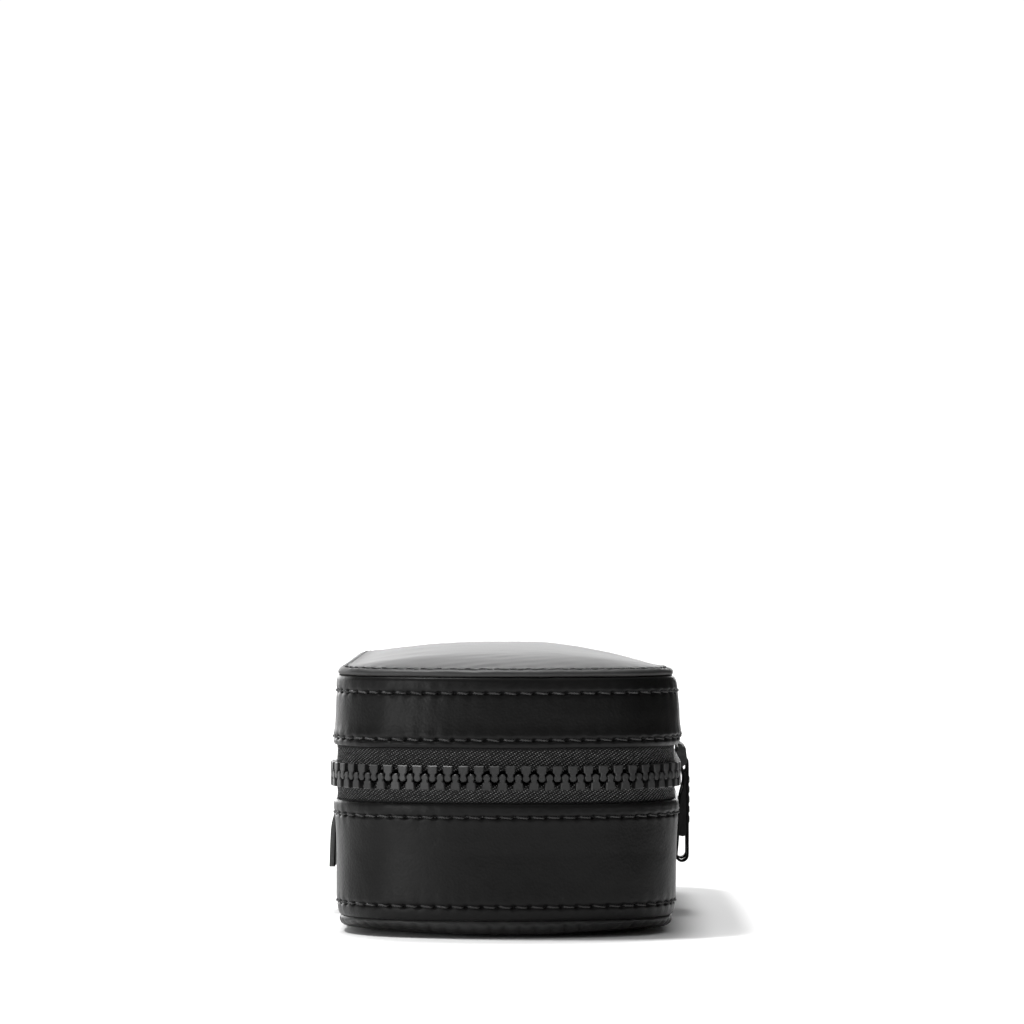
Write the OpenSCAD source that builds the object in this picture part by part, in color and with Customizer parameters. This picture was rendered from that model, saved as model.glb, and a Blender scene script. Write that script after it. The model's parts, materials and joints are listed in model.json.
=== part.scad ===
// Zip-around travel jewellery case: a padded lid and a deeper base, joined by a
// soft hinge at the back and closed by a moulded-tooth zip with two sliders.
// X runs along the case, -Y is the front with the sliders, +Z is up.
// The origin is on the floor under the middle of the case.

/* [Case] */
// Distance between the two ends, where they meet the corners
case_l = 190; // [140:1:240]
// Distance between the long sides
case_w = 82; // [68:0.2:110]
// Radius of the upright corners
corner_r = 24.5; // [18:0.5:30]
// Height of the underside panel
bottom_h = 4.3; // [3.5:0.1:7]
// Height of the base band
base_band_h = 27.9; // [22:0.1:50]
// Height of the lid band
lid_band_h = 16.8; // [14:0.1:30]
// Height of the top panel's sewn edge
top_edge_h = 2.4; // [1.8:0.1:4]
// Rise of the padded top above its edge
top_rise = 3.9; // [2:0.1:8]

/* [Layers] */
// Thickness of the leather skin
skin_t = 1; // [0.7:0.1:1.4]
// How far the folded lips stand out beside the zip
lip_out = 0.7; // [0.3:0.1:1]
// Height of the folded lips
lip_h = 3.7; // [3:0.1:5]
// Thickness of the wall boards
wall_board_t = 1.4; // [1:0.1:2.5]
// Thickness of the floor board and the top board
flat_board_t = 1.8; // [1.2:0.1:3]
// Thickness of the lining
lining_t = 0.8; // [0.5:0.1:1.2]
// Height of the lining's turned edge
lining_turn = 0.5; // [0.4:0.1:1]
// How far the top and underside panels sit inside the bands
panel_inset = 0.9; // [0.4:0.1:1.5]

/* [Zip] */
// Distance from tooth to tooth
pitch = 3.66; // [3:0.02:4.4]
// Width of the closed chain of teeth
chain_w = 5.8; // [5:0.1:7]
// Width of a tooth's block
block_w = 2.36; // [2:0.02:2.6]
// Radius of a tooth's round head
head_r = 0.76; // [0.6:0.02:0.8]
// How far a head reaches past the middle of the chain
head_reach = 1.15; // [0.9:0.05:1.3]
// Width of a tooth's neck
neck_w = 1.24; // [0.9:0.02:1.4]
// Gap between a head's tip and the facing blocks
tip_gap = 0.35; // [0.3:0.05:0.6]
// How far the teeth stand out from the band's outer face
tooth_out = 1.4; // [1:0.1:2]
// Thickness of a tooth's jaw behind the tape
jaw_t = 0.7; // [0.5:0.1:1]
// Thickness of the zip tape
tape_t = 0.7; // [0.5:0.1:1]
// Tape that shows between the teeth and the base band
tape_show_lower = 3.2; // [2:0.1:5]
// Tape that shows between the teeth and the lid band
tape_show_upper = 4.1; // [2:0.1:5]
// Tape that is sewn in behind each lip
tape_hidden = 4.7; // [3:0.1:7]
// Width of the hinge strip at the back
hinge_w = 118; // [60:1:130]

/* [Sliders] */
// Length of a slider along the chain
slider_l = 10; // [8:0.5:12]
// Width of a slider across the chain
slider_w = 9.5; // [8.5:0.1:10.5]
// Thickness of a slider's plate
slider_t = 0.7; // [0.6:0.05:1.2]
// Clearance between a slider and the teeth
slider_gap = 0.2; // [0.15:0.05:0.4]
// Distance from the middle of the front to a parked slider
park = 6.4; // [5.6:0.1:12]
// Radius of the bridge bar that holds the puller
bar_r = 0.5; // [0.4:0.05:0.7]
// Clearance between the bar and the puller's eye
eye_gap = 0.1; // [0.1:0.05:0.2]

/* [Pullers] */
// Width of a puller strap
strap_w = 5.4; // [4:0.1:6]
// Thickness of a puller strap
strap_t = 0.6; // [0.5:0.05:1]
// Distance from the bridge bar to the end of the strap
puller_l = 25.5; // [20:0.5:30]
// Thickness of the folded puller at its open loop
loop_t = 3.5; // [3.2:0.1:4.2]
// Length of the open loop
loop_l = 6.7; // [5:0.1:9]
// Thickness of a puller's sewn body [mm]
puller_t = 3.1; // [2.4:0.1:3.4]

/* [Inside] */
// Height of the dividers above the lining
divider_h = 17; // [10:0.5:22]
// Thickness of the dividers
divider_t = 1.8; // [1.2:0.1:3]
// Part of the inner length that the ring rolls take
ring_share = 0.36; // [0.25:0.01:0.5]
// Height of the ring rolls
roll_h = 13.5; // [12:0.5:16]
// Gap between neighbouring rolls, and between them and the wall
roll_gap = 0.3; // [0.2:0.1:0.8]
// Depth of the pocket under the lid
pocket_depth = 4.8; // [4.5:0.1:6]
// Thickness of the pocket panel
pocket_t = 0.8; // [0.6:0.1:1.2]
// Distance from the pocket to the lining beside it
pocket_side = 5; // [4:0.5:10]
// Length of the pocket from its mouth to the hinge side
pocket_l = 42; // [30:1:50]

/* [Back tab] */
// Width of the back tab
tab_w = 16; // [8:0.5:20]
// Thickness of the back tab
tab_t = 1.3; // [1:0.1:2]
// Height of the tab's lower end above the floor
tab_end_z = 11.5; // [8:0.5:16]
// How far the tab's lower end stands off the band
tab_flare = 2.6; // [0.4:0.1:3.5]

/* [Hidden] */
$fn = 96;
slack = 0.01;         // overlap that makes a cut or a union clean

// Plan outline: straight long sides, round corners, and ends bowed on an arc.
// The arc meets a corner on the long side of a 5:12:13 triangle.
cx = case_l / 2 - corner_r;               // corner centres
cy = case_w / 2 - corner_r;
end_u = cy * 2.4;
end_bow = cy * 0.2;                       // how far an end bows out at its middle
end_c = cx - end_u;                       // centre of the right end's arc
end_r = cy * 2.6 + corner_r;              // radius of its outer face
end_a = atan(5 / 12);                     // half of the arc's angle
corner_a = 90 - end_a;

// Levels, from the floor up
base_top = bottom_h + base_band_h;
chain_z = base_top + tape_show_lower + chain_w / 2;
lid_bottom = chain_z + chain_w / 2 + tape_show_upper;
lid_top = lid_bottom + lid_band_h;

// Depths behind the outer face of the bands
board_in = skin_t;
lining_in = board_in + wall_board_t;
inner_in = lining_in + lining_t;
tape_out = -(skin_t - lip_out);           // outer face of the tape
floor_z = bottom_h + flat_board_t + lining_t;
ceiling_z = lid_top - flat_board_t - lining_t;

// Chain of teeth, measured along the middle of the tape from mid-front
chain_off = tape_out - tape_t / 2;
corner_s = (corner_r + chain_off) * corner_a * PI / 180;
end_s = (end_r + chain_off) * 2 * end_a * PI / 180;
half_s = 2 * cx + 2 * corner_s + end_s;
stop_l = 2;
stop_gap = 0.4;
back_s = hinge_w / 2 + stop_l + stop_gap + block_w / 2;
teeth_n = floor(2 * (half_s - back_s) / pitch);

black = [0.10, 0.10, 0.11];
leather = [0.15, 0.15, 0.16];
thread_tape = [0.19, 0.19, 0.20];
board = [0.55, 0.50, 0.42];
foam = [0.75, 0.75, 0.72];
suede = [0.30, 0.29, 0.29];
cast = [0.24, 0.24, 0.25];

// ---- Plan outline -------------------------------------------------------

// The plane where an end meets a corner runs from the arc's centre through
// the corner's centre; `far` is a point on it outside the case
far_k = 2.5;
far = [end_c + end_u * far_k, cy * far_k];
wide = 2 * case_l;

// The sector of the right end's arc, up to a radius
module end_sector(r) {
    intersection() {
        translate([end_c, 0]) circle(r = r);
        polygon([[end_c, 0], [far[0], -far[1]], far]);
    }
}
// Both ends, filled back to the middle of the case
module ends(inset) {
    for (side = [0, 1])
        mirror([side, 0]) end_sector(end_r - inset);
}
// The plan shape, filled, with its edge moved inwards
module outline(inset) {
    square([2 * cx, case_w - 2 * inset], center = true);
    for (x = [-cx, cx], y = [-cy, cy])
        translate([x, y]) circle(r = corner_r - inset);
    ends(inset);
}
// The part of the plan between the corners' centres
module core() {
    square([2 * cx, 2 * cy], center = true);
    ends(corner_r);
}

// A flat layer between two levels
module layer(z0, z1, inset) {
    translate([0, 0, z0]) linear_extrude(z1 - z0) outline(inset);
}
// An upright wall that follows the plan, from one inset to a deeper one
module wall(z0, z1, outer, inner) {
    translate([0, 0, z0]) linear_extrude(z1 - z0) difference() {
        outline(outer);
        outline(inner);
    }
}

// Sweeps a profile around the plan: its x is the distance out from the
// band's outer face, its y is the level
module sweep() {
    for (side = [0, 1]) {
        mirror([0, side, 0]) translate([0, -case_w / 2, 0]) rotate([90, 0, -90])
            linear_extrude(2 * cx, center = true) children();
        mirror([side, 0, 0]) intersection() {
            translate([end_c, 0, 0]) rotate_extrude()
                translate([end_r, 0]) children();
            prism([[end_c, 0], [far[0], -far[1]], far]);
        }
    }
    for (x = [0, 1], y = [0, 1])
        mirror([x, 0, 0]) mirror([0, y, 0]) intersection() {
            translate([cx, cy, 0]) rotate_extrude()
                translate([corner_r, 0]) children();
            prism([[cx, cy], far, [far[0], wide], [cx, wide]]);
        }
}
// A tall prism on a plan polygon
module prism(points) {
    translate([0, 0, -bottom_h]) linear_extrude(2 * lid_top) polygon(points);
}
// A profile run straight along the middle of the back, over a width in X
module back_run(width) {
    translate([0, case_w / 2, 0]) rotate([90, 0, 90])
        linear_extrude(width, center = true) children();
}

// ---- Panels and bands ---------------------------------------------------

// Points of a soft edge that rises from `edge` by `rise` over `depth`
hip_steps = 7;
function hip(off, edge, rise, depth) =
    [for (i = [0:hip_steps])
        [off - depth * i / hip_steps, edge + rise * sin(90 * i / hip_steps)]];
function flipped(points) = [for (p = points) [p[0], -p[1]]];

// A pad: a rim swept around the plan, its soft face filled up to the middle
module pad(points, level, top) {
    sweep() polygon(points);
    translate([0, 0, min(level, top)]) linear_extrude(abs(top - level)) core();
}

cover_t = 1.1;                            // leather of the two panels
panel_rise = 2.7;                         // crown of the underside panel
top_z = lid_top + top_edge_h + top_rise;

// Outer form of the top panel, or of what lies a distance `t` under it
module top_form(t) {
    off = -panel_inset - t;
    reach = corner_r + off;
    edge = lid_top + top_edge_h - t;
    pad(concat([[-corner_r, lid_top], [off - 0.3, lid_top], [off, lid_top + 0.8]],
        hip(off, edge, top_rise, reach)), lid_top, top_z - t);
}

// Outer form of the underside panel, or of what lies a distance `t` in it
module bottom_form(t) {
    off = 0.3 - panel_inset - t;
    roll = 0.4 - 0.3 * t / cover_t;
    pad(concat([[-corner_r, bottom_h], [off - roll, bottom_h], [off, bottom_h - roll]],
        flipped(hip(off, -panel_rise - t, panel_rise, corner_r + off))), bottom_h, t);
}

module bottom_panel() {
    color(leather) difference() {
        bottom_form(0);
        bottom_form(cover_t);
    }
}
module bottom_foam() {
    color(foam) bottom_form(cover_t);
}

// Section of a band: `lip_z` is its edge at the zip, `far_z` the other edge
module band_section(lip_z, far_z) {
    way = sign(far_z - lip_z);
    fold = 0.4;
    soft = 1.6;
    polygon([
        [lip_out - 0.25, lip_z], [lip_out, lip_z + way * 0.3],
        [lip_out, lip_z + way * lip_h], [0, lip_z + way * (lip_h + soft)],
        [0, far_z - way * soft], [-fold, far_z - way * 0.3], [-fold - 0.3, far_z],
        [-skin_t, far_z], [-skin_t, lip_z + way * tape_hidden],
        [tape_out, lip_z + way * tape_hidden], [tape_out, lip_z]]);
}
module base_band() {
    color(leather) sweep() band_section(base_top, bottom_h);
}
module lid_band() {
    color(leather) sweep() band_section(lid_bottom, lid_top);
}
module base_floor_board() {
    color(board) layer(bottom_h, bottom_h + flat_board_t, board_in);
}
module base_wall_board() {
    color(board) wall(bottom_h + flat_board_t, base_top - lining_turn,
        board_in, lining_in);
}
module base_lining() {
    z0 = bottom_h + flat_board_t;
    color(suede) {
        layer(z0, z0 + lining_t, lining_in);
        wall(z0, base_top - lining_turn, lining_in, inner_in);
        wall(base_top - lining_turn, base_top, board_in, inner_in);
    }
}
module lid_wall_board() {
    color(board) wall(lid_bottom + lining_turn, lid_top - flat_board_t,
        board_in, lining_in);
}
module lid_top_board() {
    color(board) layer(lid_top - flat_board_t, lid_top, board_in);
}
module lid_top_foam() {
    color(foam) top_form(cover_t);
}
module lid_top_cover() {
    color(leather) difference() {
        top_form(0);
        top_form(cover_t);
    }
}
module lid_lining() {
    z1 = lid_top - flat_board_t;
    color(suede) {
        layer(z1 - lining_t, z1, lining_in);
        wall(lid_bottom + lining_turn, z1, lining_in, inner_in);
        wall(lid_bottom, lid_bottom + lining_turn, board_in, inner_in);
    }
}

// ---- Inside -------------------------------------------------------------

inner_x = case_l / 2 + end_bow - inner_in;  // inner wall at the middle of an end
ring_x = inner_x - 2 * inner_x * ring_share;
roll_n = 6;
roll_w = (inner_x - ring_x - divider_t - roll_gap) / roll_n - roll_gap;

// The space inside the lining of the base, less a gap
module inside(gap, z0, z1) {
    layer(z0, z1, inner_in + gap);
}
// Runs along the case between the two compartments
module long_divider() {
    color(suede) intersection() {
        inside(0, floor_z, floor_z + divider_h);
        translate([-case_l, -divider_t / 2, 0]) cube([case_l + ring_x, divider_t, base_top]);
    }
}
// Runs across the case beside the ring rolls
module short_divider() {
    color(suede) translate([ring_x, -case_w / 2 + inner_in, floor_z])
        cube([divider_t, case_w - 2 * inner_in, divider_h]);
}

// A ring roll: flat below, round on top, cut to the shape of the inside
module ring_roll(n) {
    x = ring_x + divider_t + roll_gap + (n - 0.5) * roll_w + (n - 1) * roll_gap;
    r = roll_w / 2;
    color(suede) intersection() {
        inside(roll_gap, floor_z, base_top);
        translate([x, 0, floor_z]) rotate([90, 0, 0])
            linear_extrude(case_w, center = true) {
                translate([0, roll_h - r]) circle(r = r);
                translate([-r, 0]) square([roll_w, roll_h - r]);
            }
    }
}

// The pocket: a panel under the lid with walls at the hinge side and both ends
pocket_z = ceiling_z - pocket_depth - pocket_t;
pocket_y1 = case_w / 2 - inner_in - pocket_side;
pocket_y0 = pocket_y1 - pocket_l;
pocket_x = case_l / 2 - inner_in - pocket_side;
pocket_r = corner_r - inner_in - pocket_side;
module pocket_plan(inset) {
    intersection() {
        union() {
            square([2 * (pocket_x - inset), 2 * (pocket_y1 - pocket_r)], center = true);
            for (x = [-1, 1])
                translate([x * (pocket_x - pocket_r), pocket_y1 - pocket_r])
                    circle(r = pocket_r - inset);
            square([2 * (pocket_x - pocket_r), 2 * (pocket_y1 - inset)], center = true);
        }
        translate([-case_l, pocket_y0]) square([2 * case_l, case_w]);
    }
}
module lid_pocket() {
    color(suede) {
        translate([0, 0, pocket_z]) linear_extrude(pocket_t) pocket_plan(0);
        translate([0, 0, pocket_z]) linear_extrude(pocket_t + pocket_depth) difference() {
            pocket_plan(0);
            pocket_plan(pocket_t);
        }
    }
}
module pocket_binding() {
    bind_t = 0.5;
    bind_w = 2.4;
    color(black) translate([0, pocket_y0, pocket_z + pocket_t / 2]) rotate([90, 0, 90])
        linear_extrude(2 * (pocket_x - pocket_t), center = true) difference() {
            hull() {
                circle(r = pocket_t / 2 + bind_t);
                translate([bind_w, 0]) square([slack, pocket_t + 2 * bind_t], center = true);
            }
            translate([0, -pocket_t / 2]) square([2 * bind_w, pocket_t]);
        }
}

// ---- Zip ----------------------------------------------------------------

// What a C-shaped zip piece leaves free at the back
module hinge_gap() {
    translate([-hinge_w / 2, 0, 0]) cube([hinge_w, case_w, 2 * lid_top]);
}
bead = 1.3;                               // how far the tape runs into the teeth
module tape(z0, z1) {
    color(thread_tape) difference() {
        wall(z0, z1, -tape_out, tape_t - tape_out);
        hinge_gap();
    }
}
module zip_tape_lower() {
    tape(base_top - tape_hidden, chain_z - chain_w / 2 + bead);
}
module zip_tape_upper() {
    tape(chain_z + chain_w / 2 - bead, lid_bottom + tape_hidden);
}

// Where a point of the chain lies: [x, y, turn about Z], for s from 0 up
function place(s) =
    let (c1 = cx + corner_s, c2 = c1 + end_s, c3 = c2 + corner_s,
        r = corner_r + chain_off, re = end_r + chain_off)
    s < cx ? [s, -case_w / 2 - chain_off, 0] :
    s < c1 ?
        let (a = (s - cx) / corner_s * corner_a)
        [cx + r * sin(a), -cy - r * cos(a), a] :
    s < c2 ?
        let (a = corner_a + (s - c1) / end_s * 2 * end_a)
        [end_c + re * sin(a), -re * cos(a), a] :
    s < c3 ?
        let (a = 90 + end_a + (s - c2) / corner_s * corner_a)
        [cx + r * sin(a), cy - r * cos(a), a] :
        [cx + c3 - s, case_w / 2 + chain_off, 180];

// One tooth that points up, seen from outside: block, neck and round head
module tooth_front() {
    shoulder = -head_reach - tip_gap;
    bevel = 0.25;
    head_z = head_reach - head_r;
    polygon([[-block_w / 2, -chain_w], [block_w / 2, -chain_w],
        [block_w / 2, shoulder - bevel], [block_w / 2 - bevel, shoulder],
        [-block_w / 2 + bevel, shoulder], [-block_w / 2, shoulder - bevel]]);
    translate([-neck_w / 2, shoulder - bevel]) square([neck_w, head_z - shoulder + bevel]);
    translate([0, head_z]) circle(r = head_r);
}
// The same tooth from its side: x is out from the tape's middle, and the foot
// has a slot that grips the tape
module tooth_side() {
    out = tooth_out - chain_off;
    back = -tape_t / 2 - jaw_t;
    head_back = -tape_t / 2;
    foot = -chain_w / 2;
    shoulder = -head_reach - tip_gap;
    edge = 0.3;
    tip = head_reach + edge / 2;
    polygon([[out - edge, foot], [out, foot + edge], [out, tip - edge],
        [out - edge, tip], [head_back, tip], [head_back, shoulder], [back, shoulder],
        [back, foot + edge], [back + edge, foot], [-tape_t / 2, foot],
        [-tape_t / 2, foot + bead], [tape_t / 2, foot + bead], [tape_t / 2, foot]]);
}
// Drawn at mid-front on the chain's line, facing -Y
module tooth() {
    intersection() {
        rotate([90, 0, 0]) linear_extrude(2 * chain_w, center = true) tooth_front();
        rotate([0, 0, -90]) rotate([90, 0, 0])
            linear_extrude(pitch, center = true) tooth_side();
    }
}
module tooth_row(shift) {
    for (i = [0:teeth_n - 1]) {
        s = (i - (teeth_n - 1) / 2 + shift) * pitch;
        p = place(abs(s));
        translate([sign(s) * p[0], p[1], 0]) rotate([0, 0, sign(s) * p[2]]) tooth();
    }
}
module zip_teeth_lower() {
    color(black) translate([0, 0, chain_z]) tooth_row(0.25);
}
module zip_teeth_upper() {
    color(black) translate([0, 0, chain_z]) mirror([0, 0, 1]) tooth_row(-0.25);
}

// End stops: a block clamped on the tape past the last tooth of each row
module stops(z0, z1) {
    color(black) for (side = [0, 1])
        mirror([side, 0, 0]) intersection() {
            for (in = [-tape_out - stop_out, tape_t - tape_out])
                wall(z0, z1, in, in + stop_out);
            translate([hinge_w / 2 + stop_gap, 0, 0]) cube([stop_l, case_w, 2 * lid_top]);
        }
}
stop_out = 0.7;                           // a stop's jaw on each face of the tape
stop_split = 0.15;                        // half of the gap between the rows' stops
module zip_stops_lower() {
    stops(chain_z - chain_w / 2, chain_z - stop_split);
}
module zip_stops_upper() {
    stops(chain_z + stop_split, chain_z + chain_w / 2);
}

// Hinge strip, drawn as two halves that meet at the hinge line
module hinge_half(z0, z1) {
    color(leather) back_run(hinge_w) translate([tape_out - tape_t, z0])
        square([tape_t, z1 - z0]);
}
module hinge_strip_lower() {
    hinge_half(base_top - tape_hidden, chain_z);
}
module hinge_strip_upper() {
    hinge_half(chain_z, lid_bottom + tape_hidden);
}

// Back tab: sewn on the base's lip, bent out below it and hanging down
module back_tab() {
    top = base_top - 0.5;
    bend_z = base_top - lip_h - 5.6;
    bent = lip_out + 0.75 * tab_flare;
    color(leather) back_run(tab_w) polygon([
        [lip_out, top], [lip_out + tab_t, top], [lip_out + tab_t, base_top - lip_h],
        [bent + tab_t, bend_z], [lip_out + tab_flare + tab_t, tab_end_z],
        [lip_out + tab_flare, tab_end_z], [bent, bend_z],
        [lip_out, base_top - lip_h]]);
}

// ---- Sliders and pullers ------------------------------------------------

plate_in = tooth_out + slider_gap;        // from the band's face to the plate
plate_out = plate_in + slider_t;
eye_r = bar_r + eye_gap + strap_t;        // outside of the puller's eye
bar_off = plate_out + 0.1 + eye_r;
face_y = -case_w / 2;                     // band's outer face at the front
window = strap_w + 0.8;                   // between the bridge's legs
leg_w = 0.9;

// Plate of a slider from the front: its mouth is on the +X side
module slider_outline(inset) {
    tail_w = slider_w - 1.8;
    round_r = 1.2;
    hull() {
        for (z = [-1, 1]) {
            translate([slider_l / 2 - round_r, z * (slider_w / 2 - round_r)])
                circle(r = round_r - inset);
            translate([round_r - slider_l / 2, z * (tail_w / 2 - round_r)])
                circle(r = round_r - inset);
        }
    }
}

// Side of the bridge: an arch from the plate's upper edge over the bar
module bridge_side() {
    hull() {
        translate([-bar_off, 0]) circle(r = bar_r + 0.25);
        translate([-plate_out - 0.9, 3.2]) circle(r = 0.8);
        translate([-plate_out, 3.9]) circle(r = 0.8);
        translate([-plate_out, 0]) square([slack, 3.6], center = true);
    }
}

// A slider at mid-front: plate, raised middle, lower rim and bridge
module slider() {
    rim_t = 1;
    rim_in = 0.15;
    raise = 0.12;
    color(cast) translate([0, face_y, chain_z]) {
        difference() {
            for (x = [-window / 2 - leg_w, window / 2])
                translate([x, 0, 0]) rotate([90, 0, 90])
                    linear_extrude(leg_w) bridge_side();
            translate([-slider_l, -plate_in - slider_t / 2, -slider_w])
                cube([2 * slider_l, case_w, 2 * slider_w]);
        }
        rotate([90, 0, 0]) {
            translate([0, 0, plate_in]) linear_extrude(slider_t - raise) slider_outline(0);
            translate([0, 0, plate_in]) linear_extrude(slider_t) slider_outline(0.5);
        }
        translate([-slider_l / 2 + 1.2, -plate_out + raise, -slider_w / 2 + 0.05])
            cube([slider_l - 2.4, plate_out - raise - rim_in, rim_t]);
        translate([0, -bar_off, 0]) rotate([0, 90, 0])
            cylinder(r = bar_r, h = window + leg_w, center = true);
    }
}

// A puller at mid-front: a strap folded around the bar, sewn together below
// the eye, and open again in a loop at its end; its outer arm hangs straight
function arc(x, z, r, from, to, n = 18) =
    [for (i = [0:n]) let (a = from + (to - from) * i / n) [x + r * cos(a), z + r * sin(a)]];
module puller_section() {
    neck_z = -5;                         // the body widens below the plate
    wide = puller_t - eye_r;
    top_z = -puller_l + loop_l;
    loop_r = loop_t / 2;
    hole_r = 0.85;
    outer_arm = 1.05;
    inner_arm = 0.45;
    difference() {
        polygon([
            each arc(0, 0, eye_r, 180, -10),
            [0, neck_z], [0.2 * wide, neck_z - 1.2], [0.75 * wide, neck_z - 5], [wide, top_z],
            each arc(loop_r - eye_r, -puller_l + loop_r, loop_r, 0, -180),
        ]);
        circle(r = bar_r + eye_gap);
        polygon([
            [outer_arm - eye_r, top_z],
            each arc(loop_r - eye_r + 0.3, -puller_l + outer_arm + hole_r, hole_r, -180, 0),
            [wide - inner_arm, top_z],
        ]);
    }
}
module puller() {
    color(leather) translate([0, face_y - bar_off, chain_z]) rotate([90, 0, 90])
        linear_extrude(strap_w, center = true) puller_section();
}
module left_slider() {
    translate([-park, 0, 0]) slider();
}
module right_slider() {
    translate([park, 0, 0]) mirror([1, 0, 0]) slider();
}
module left_puller() {
    translate([-park, 0, 0]) puller();
}
module right_puller() {
    translate([park, 0, 0]) puller();
}

bottom_panel();
bottom_foam();
base_band();
base_floor_board();
base_wall_board();
base_lining();
long_divider();
short_divider();
ring_roll(1);  // ring_roll_1
ring_roll(2);  // ring_roll_2
ring_roll(3);  // ring_roll_3
ring_roll(4);  // ring_roll_4
ring_roll(5);  // ring_roll_5
ring_roll(6);  // ring_roll_6
zip_tape_lower();
zip_teeth_lower();
zip_stops_lower();
hinge_strip_lower();
back_tab();
lid_band();
lid_wall_board();
lid_top_board();
lid_top_foam();
lid_top_cover();
lid_lining();
lid_pocket();
pocket_binding();
zip_tape_upper();
zip_teeth_upper();
zip_stops_upper();
hinge_strip_upper();
left_slider();
right_slider();
left_puller();
right_puller();
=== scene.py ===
"""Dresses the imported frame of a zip-around jewellery case.

Sizes are in millimetres until a mesh is made. X runs along the case, -Y is the
front with the sliders, +Y the hinge, and Z is up from the floor.
"""

from __future__ import annotations

import json
import logging
import math
from dataclasses import dataclass
from enum import Enum
from typing import Callable, Iterable, Sequence

import bmesh
import bpy
import numpy as np
from mathutils import Matrix, Vector
from mathutils.geometry import delaunay_2d_cdt

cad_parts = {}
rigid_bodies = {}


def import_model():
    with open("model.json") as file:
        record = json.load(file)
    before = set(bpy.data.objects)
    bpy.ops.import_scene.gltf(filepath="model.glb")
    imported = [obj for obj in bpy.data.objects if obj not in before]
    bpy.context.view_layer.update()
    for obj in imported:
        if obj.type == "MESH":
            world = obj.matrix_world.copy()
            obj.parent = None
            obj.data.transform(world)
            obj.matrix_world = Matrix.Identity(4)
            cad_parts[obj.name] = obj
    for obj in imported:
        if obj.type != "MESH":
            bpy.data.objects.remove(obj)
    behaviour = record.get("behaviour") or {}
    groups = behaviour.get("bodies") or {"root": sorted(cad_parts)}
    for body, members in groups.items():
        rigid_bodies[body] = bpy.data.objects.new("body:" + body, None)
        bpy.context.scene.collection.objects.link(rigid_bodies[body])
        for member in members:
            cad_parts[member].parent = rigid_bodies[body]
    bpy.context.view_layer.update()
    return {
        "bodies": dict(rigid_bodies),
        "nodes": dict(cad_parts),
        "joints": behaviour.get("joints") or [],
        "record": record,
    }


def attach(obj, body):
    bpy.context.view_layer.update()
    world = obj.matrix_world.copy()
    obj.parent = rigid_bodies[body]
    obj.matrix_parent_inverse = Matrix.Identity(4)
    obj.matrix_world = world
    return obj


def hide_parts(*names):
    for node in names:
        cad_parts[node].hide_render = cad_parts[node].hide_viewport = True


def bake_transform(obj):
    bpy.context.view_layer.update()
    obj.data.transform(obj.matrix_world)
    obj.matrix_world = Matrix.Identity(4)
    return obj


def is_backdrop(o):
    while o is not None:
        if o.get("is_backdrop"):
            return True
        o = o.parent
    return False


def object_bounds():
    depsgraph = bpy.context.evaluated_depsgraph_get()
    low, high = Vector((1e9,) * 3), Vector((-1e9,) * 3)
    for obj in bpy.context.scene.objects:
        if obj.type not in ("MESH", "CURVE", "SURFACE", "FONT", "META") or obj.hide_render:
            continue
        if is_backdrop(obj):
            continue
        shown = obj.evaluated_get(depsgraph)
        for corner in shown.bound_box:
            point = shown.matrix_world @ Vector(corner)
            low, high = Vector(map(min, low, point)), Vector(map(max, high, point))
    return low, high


LOG = logging.getLogger("jewellery_case")
MM = 0.001
Array = np.ndarray
Material = bpy.types.Material
Object = bpy.types.Object

# ---- Levels and depths that the sub-assemblies share ------------------------

BOTTOM_EDGE = 4.3
BASE_TOP = 32.2
CHAIN_Z = 38.3
LID_BOTTOM = 45.3
LID_TOP = 62.1
TAPE_FACE = -0.3
TAPE_THICK = 0.7
LINING_FACE = -3.2
FLOOR_Z = 6.9
CEILING_Z = 59.5
HINGE_HALF = 59.0
FRONT_Y = -41.0
TAPE_TUCK = 4.4
TAPE_EDGE = 1.6
CHAIN_IN = 0.65
STOP_ROOM = 2.4
WEAVE_RIB = 0.62
WEAVE_SLANT = 0.55
WEAVE_STEP = 0.62
SMOOTHING = 40


class Body(Enum):
    """The CAD bodies that pieces ride on."""

    BASE = "base"
    LID = "lid"
    LEFT_PULLER = "left_puller"
    RIGHT_PULLER = "right_puller"


class Slot(Enum):
    """The record's material slots."""

    BLACK = "black_leather"
    TOP = "top_leather"
    LINING = "lining"
    BOARD = "board"
    TAPE = "zip_tape"
    MOULDING = "zip_moulding"
    BINDING = "binding"
    METAL = "slider_metal"


# ---- Shader maths -----------------------------------------------------------


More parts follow.
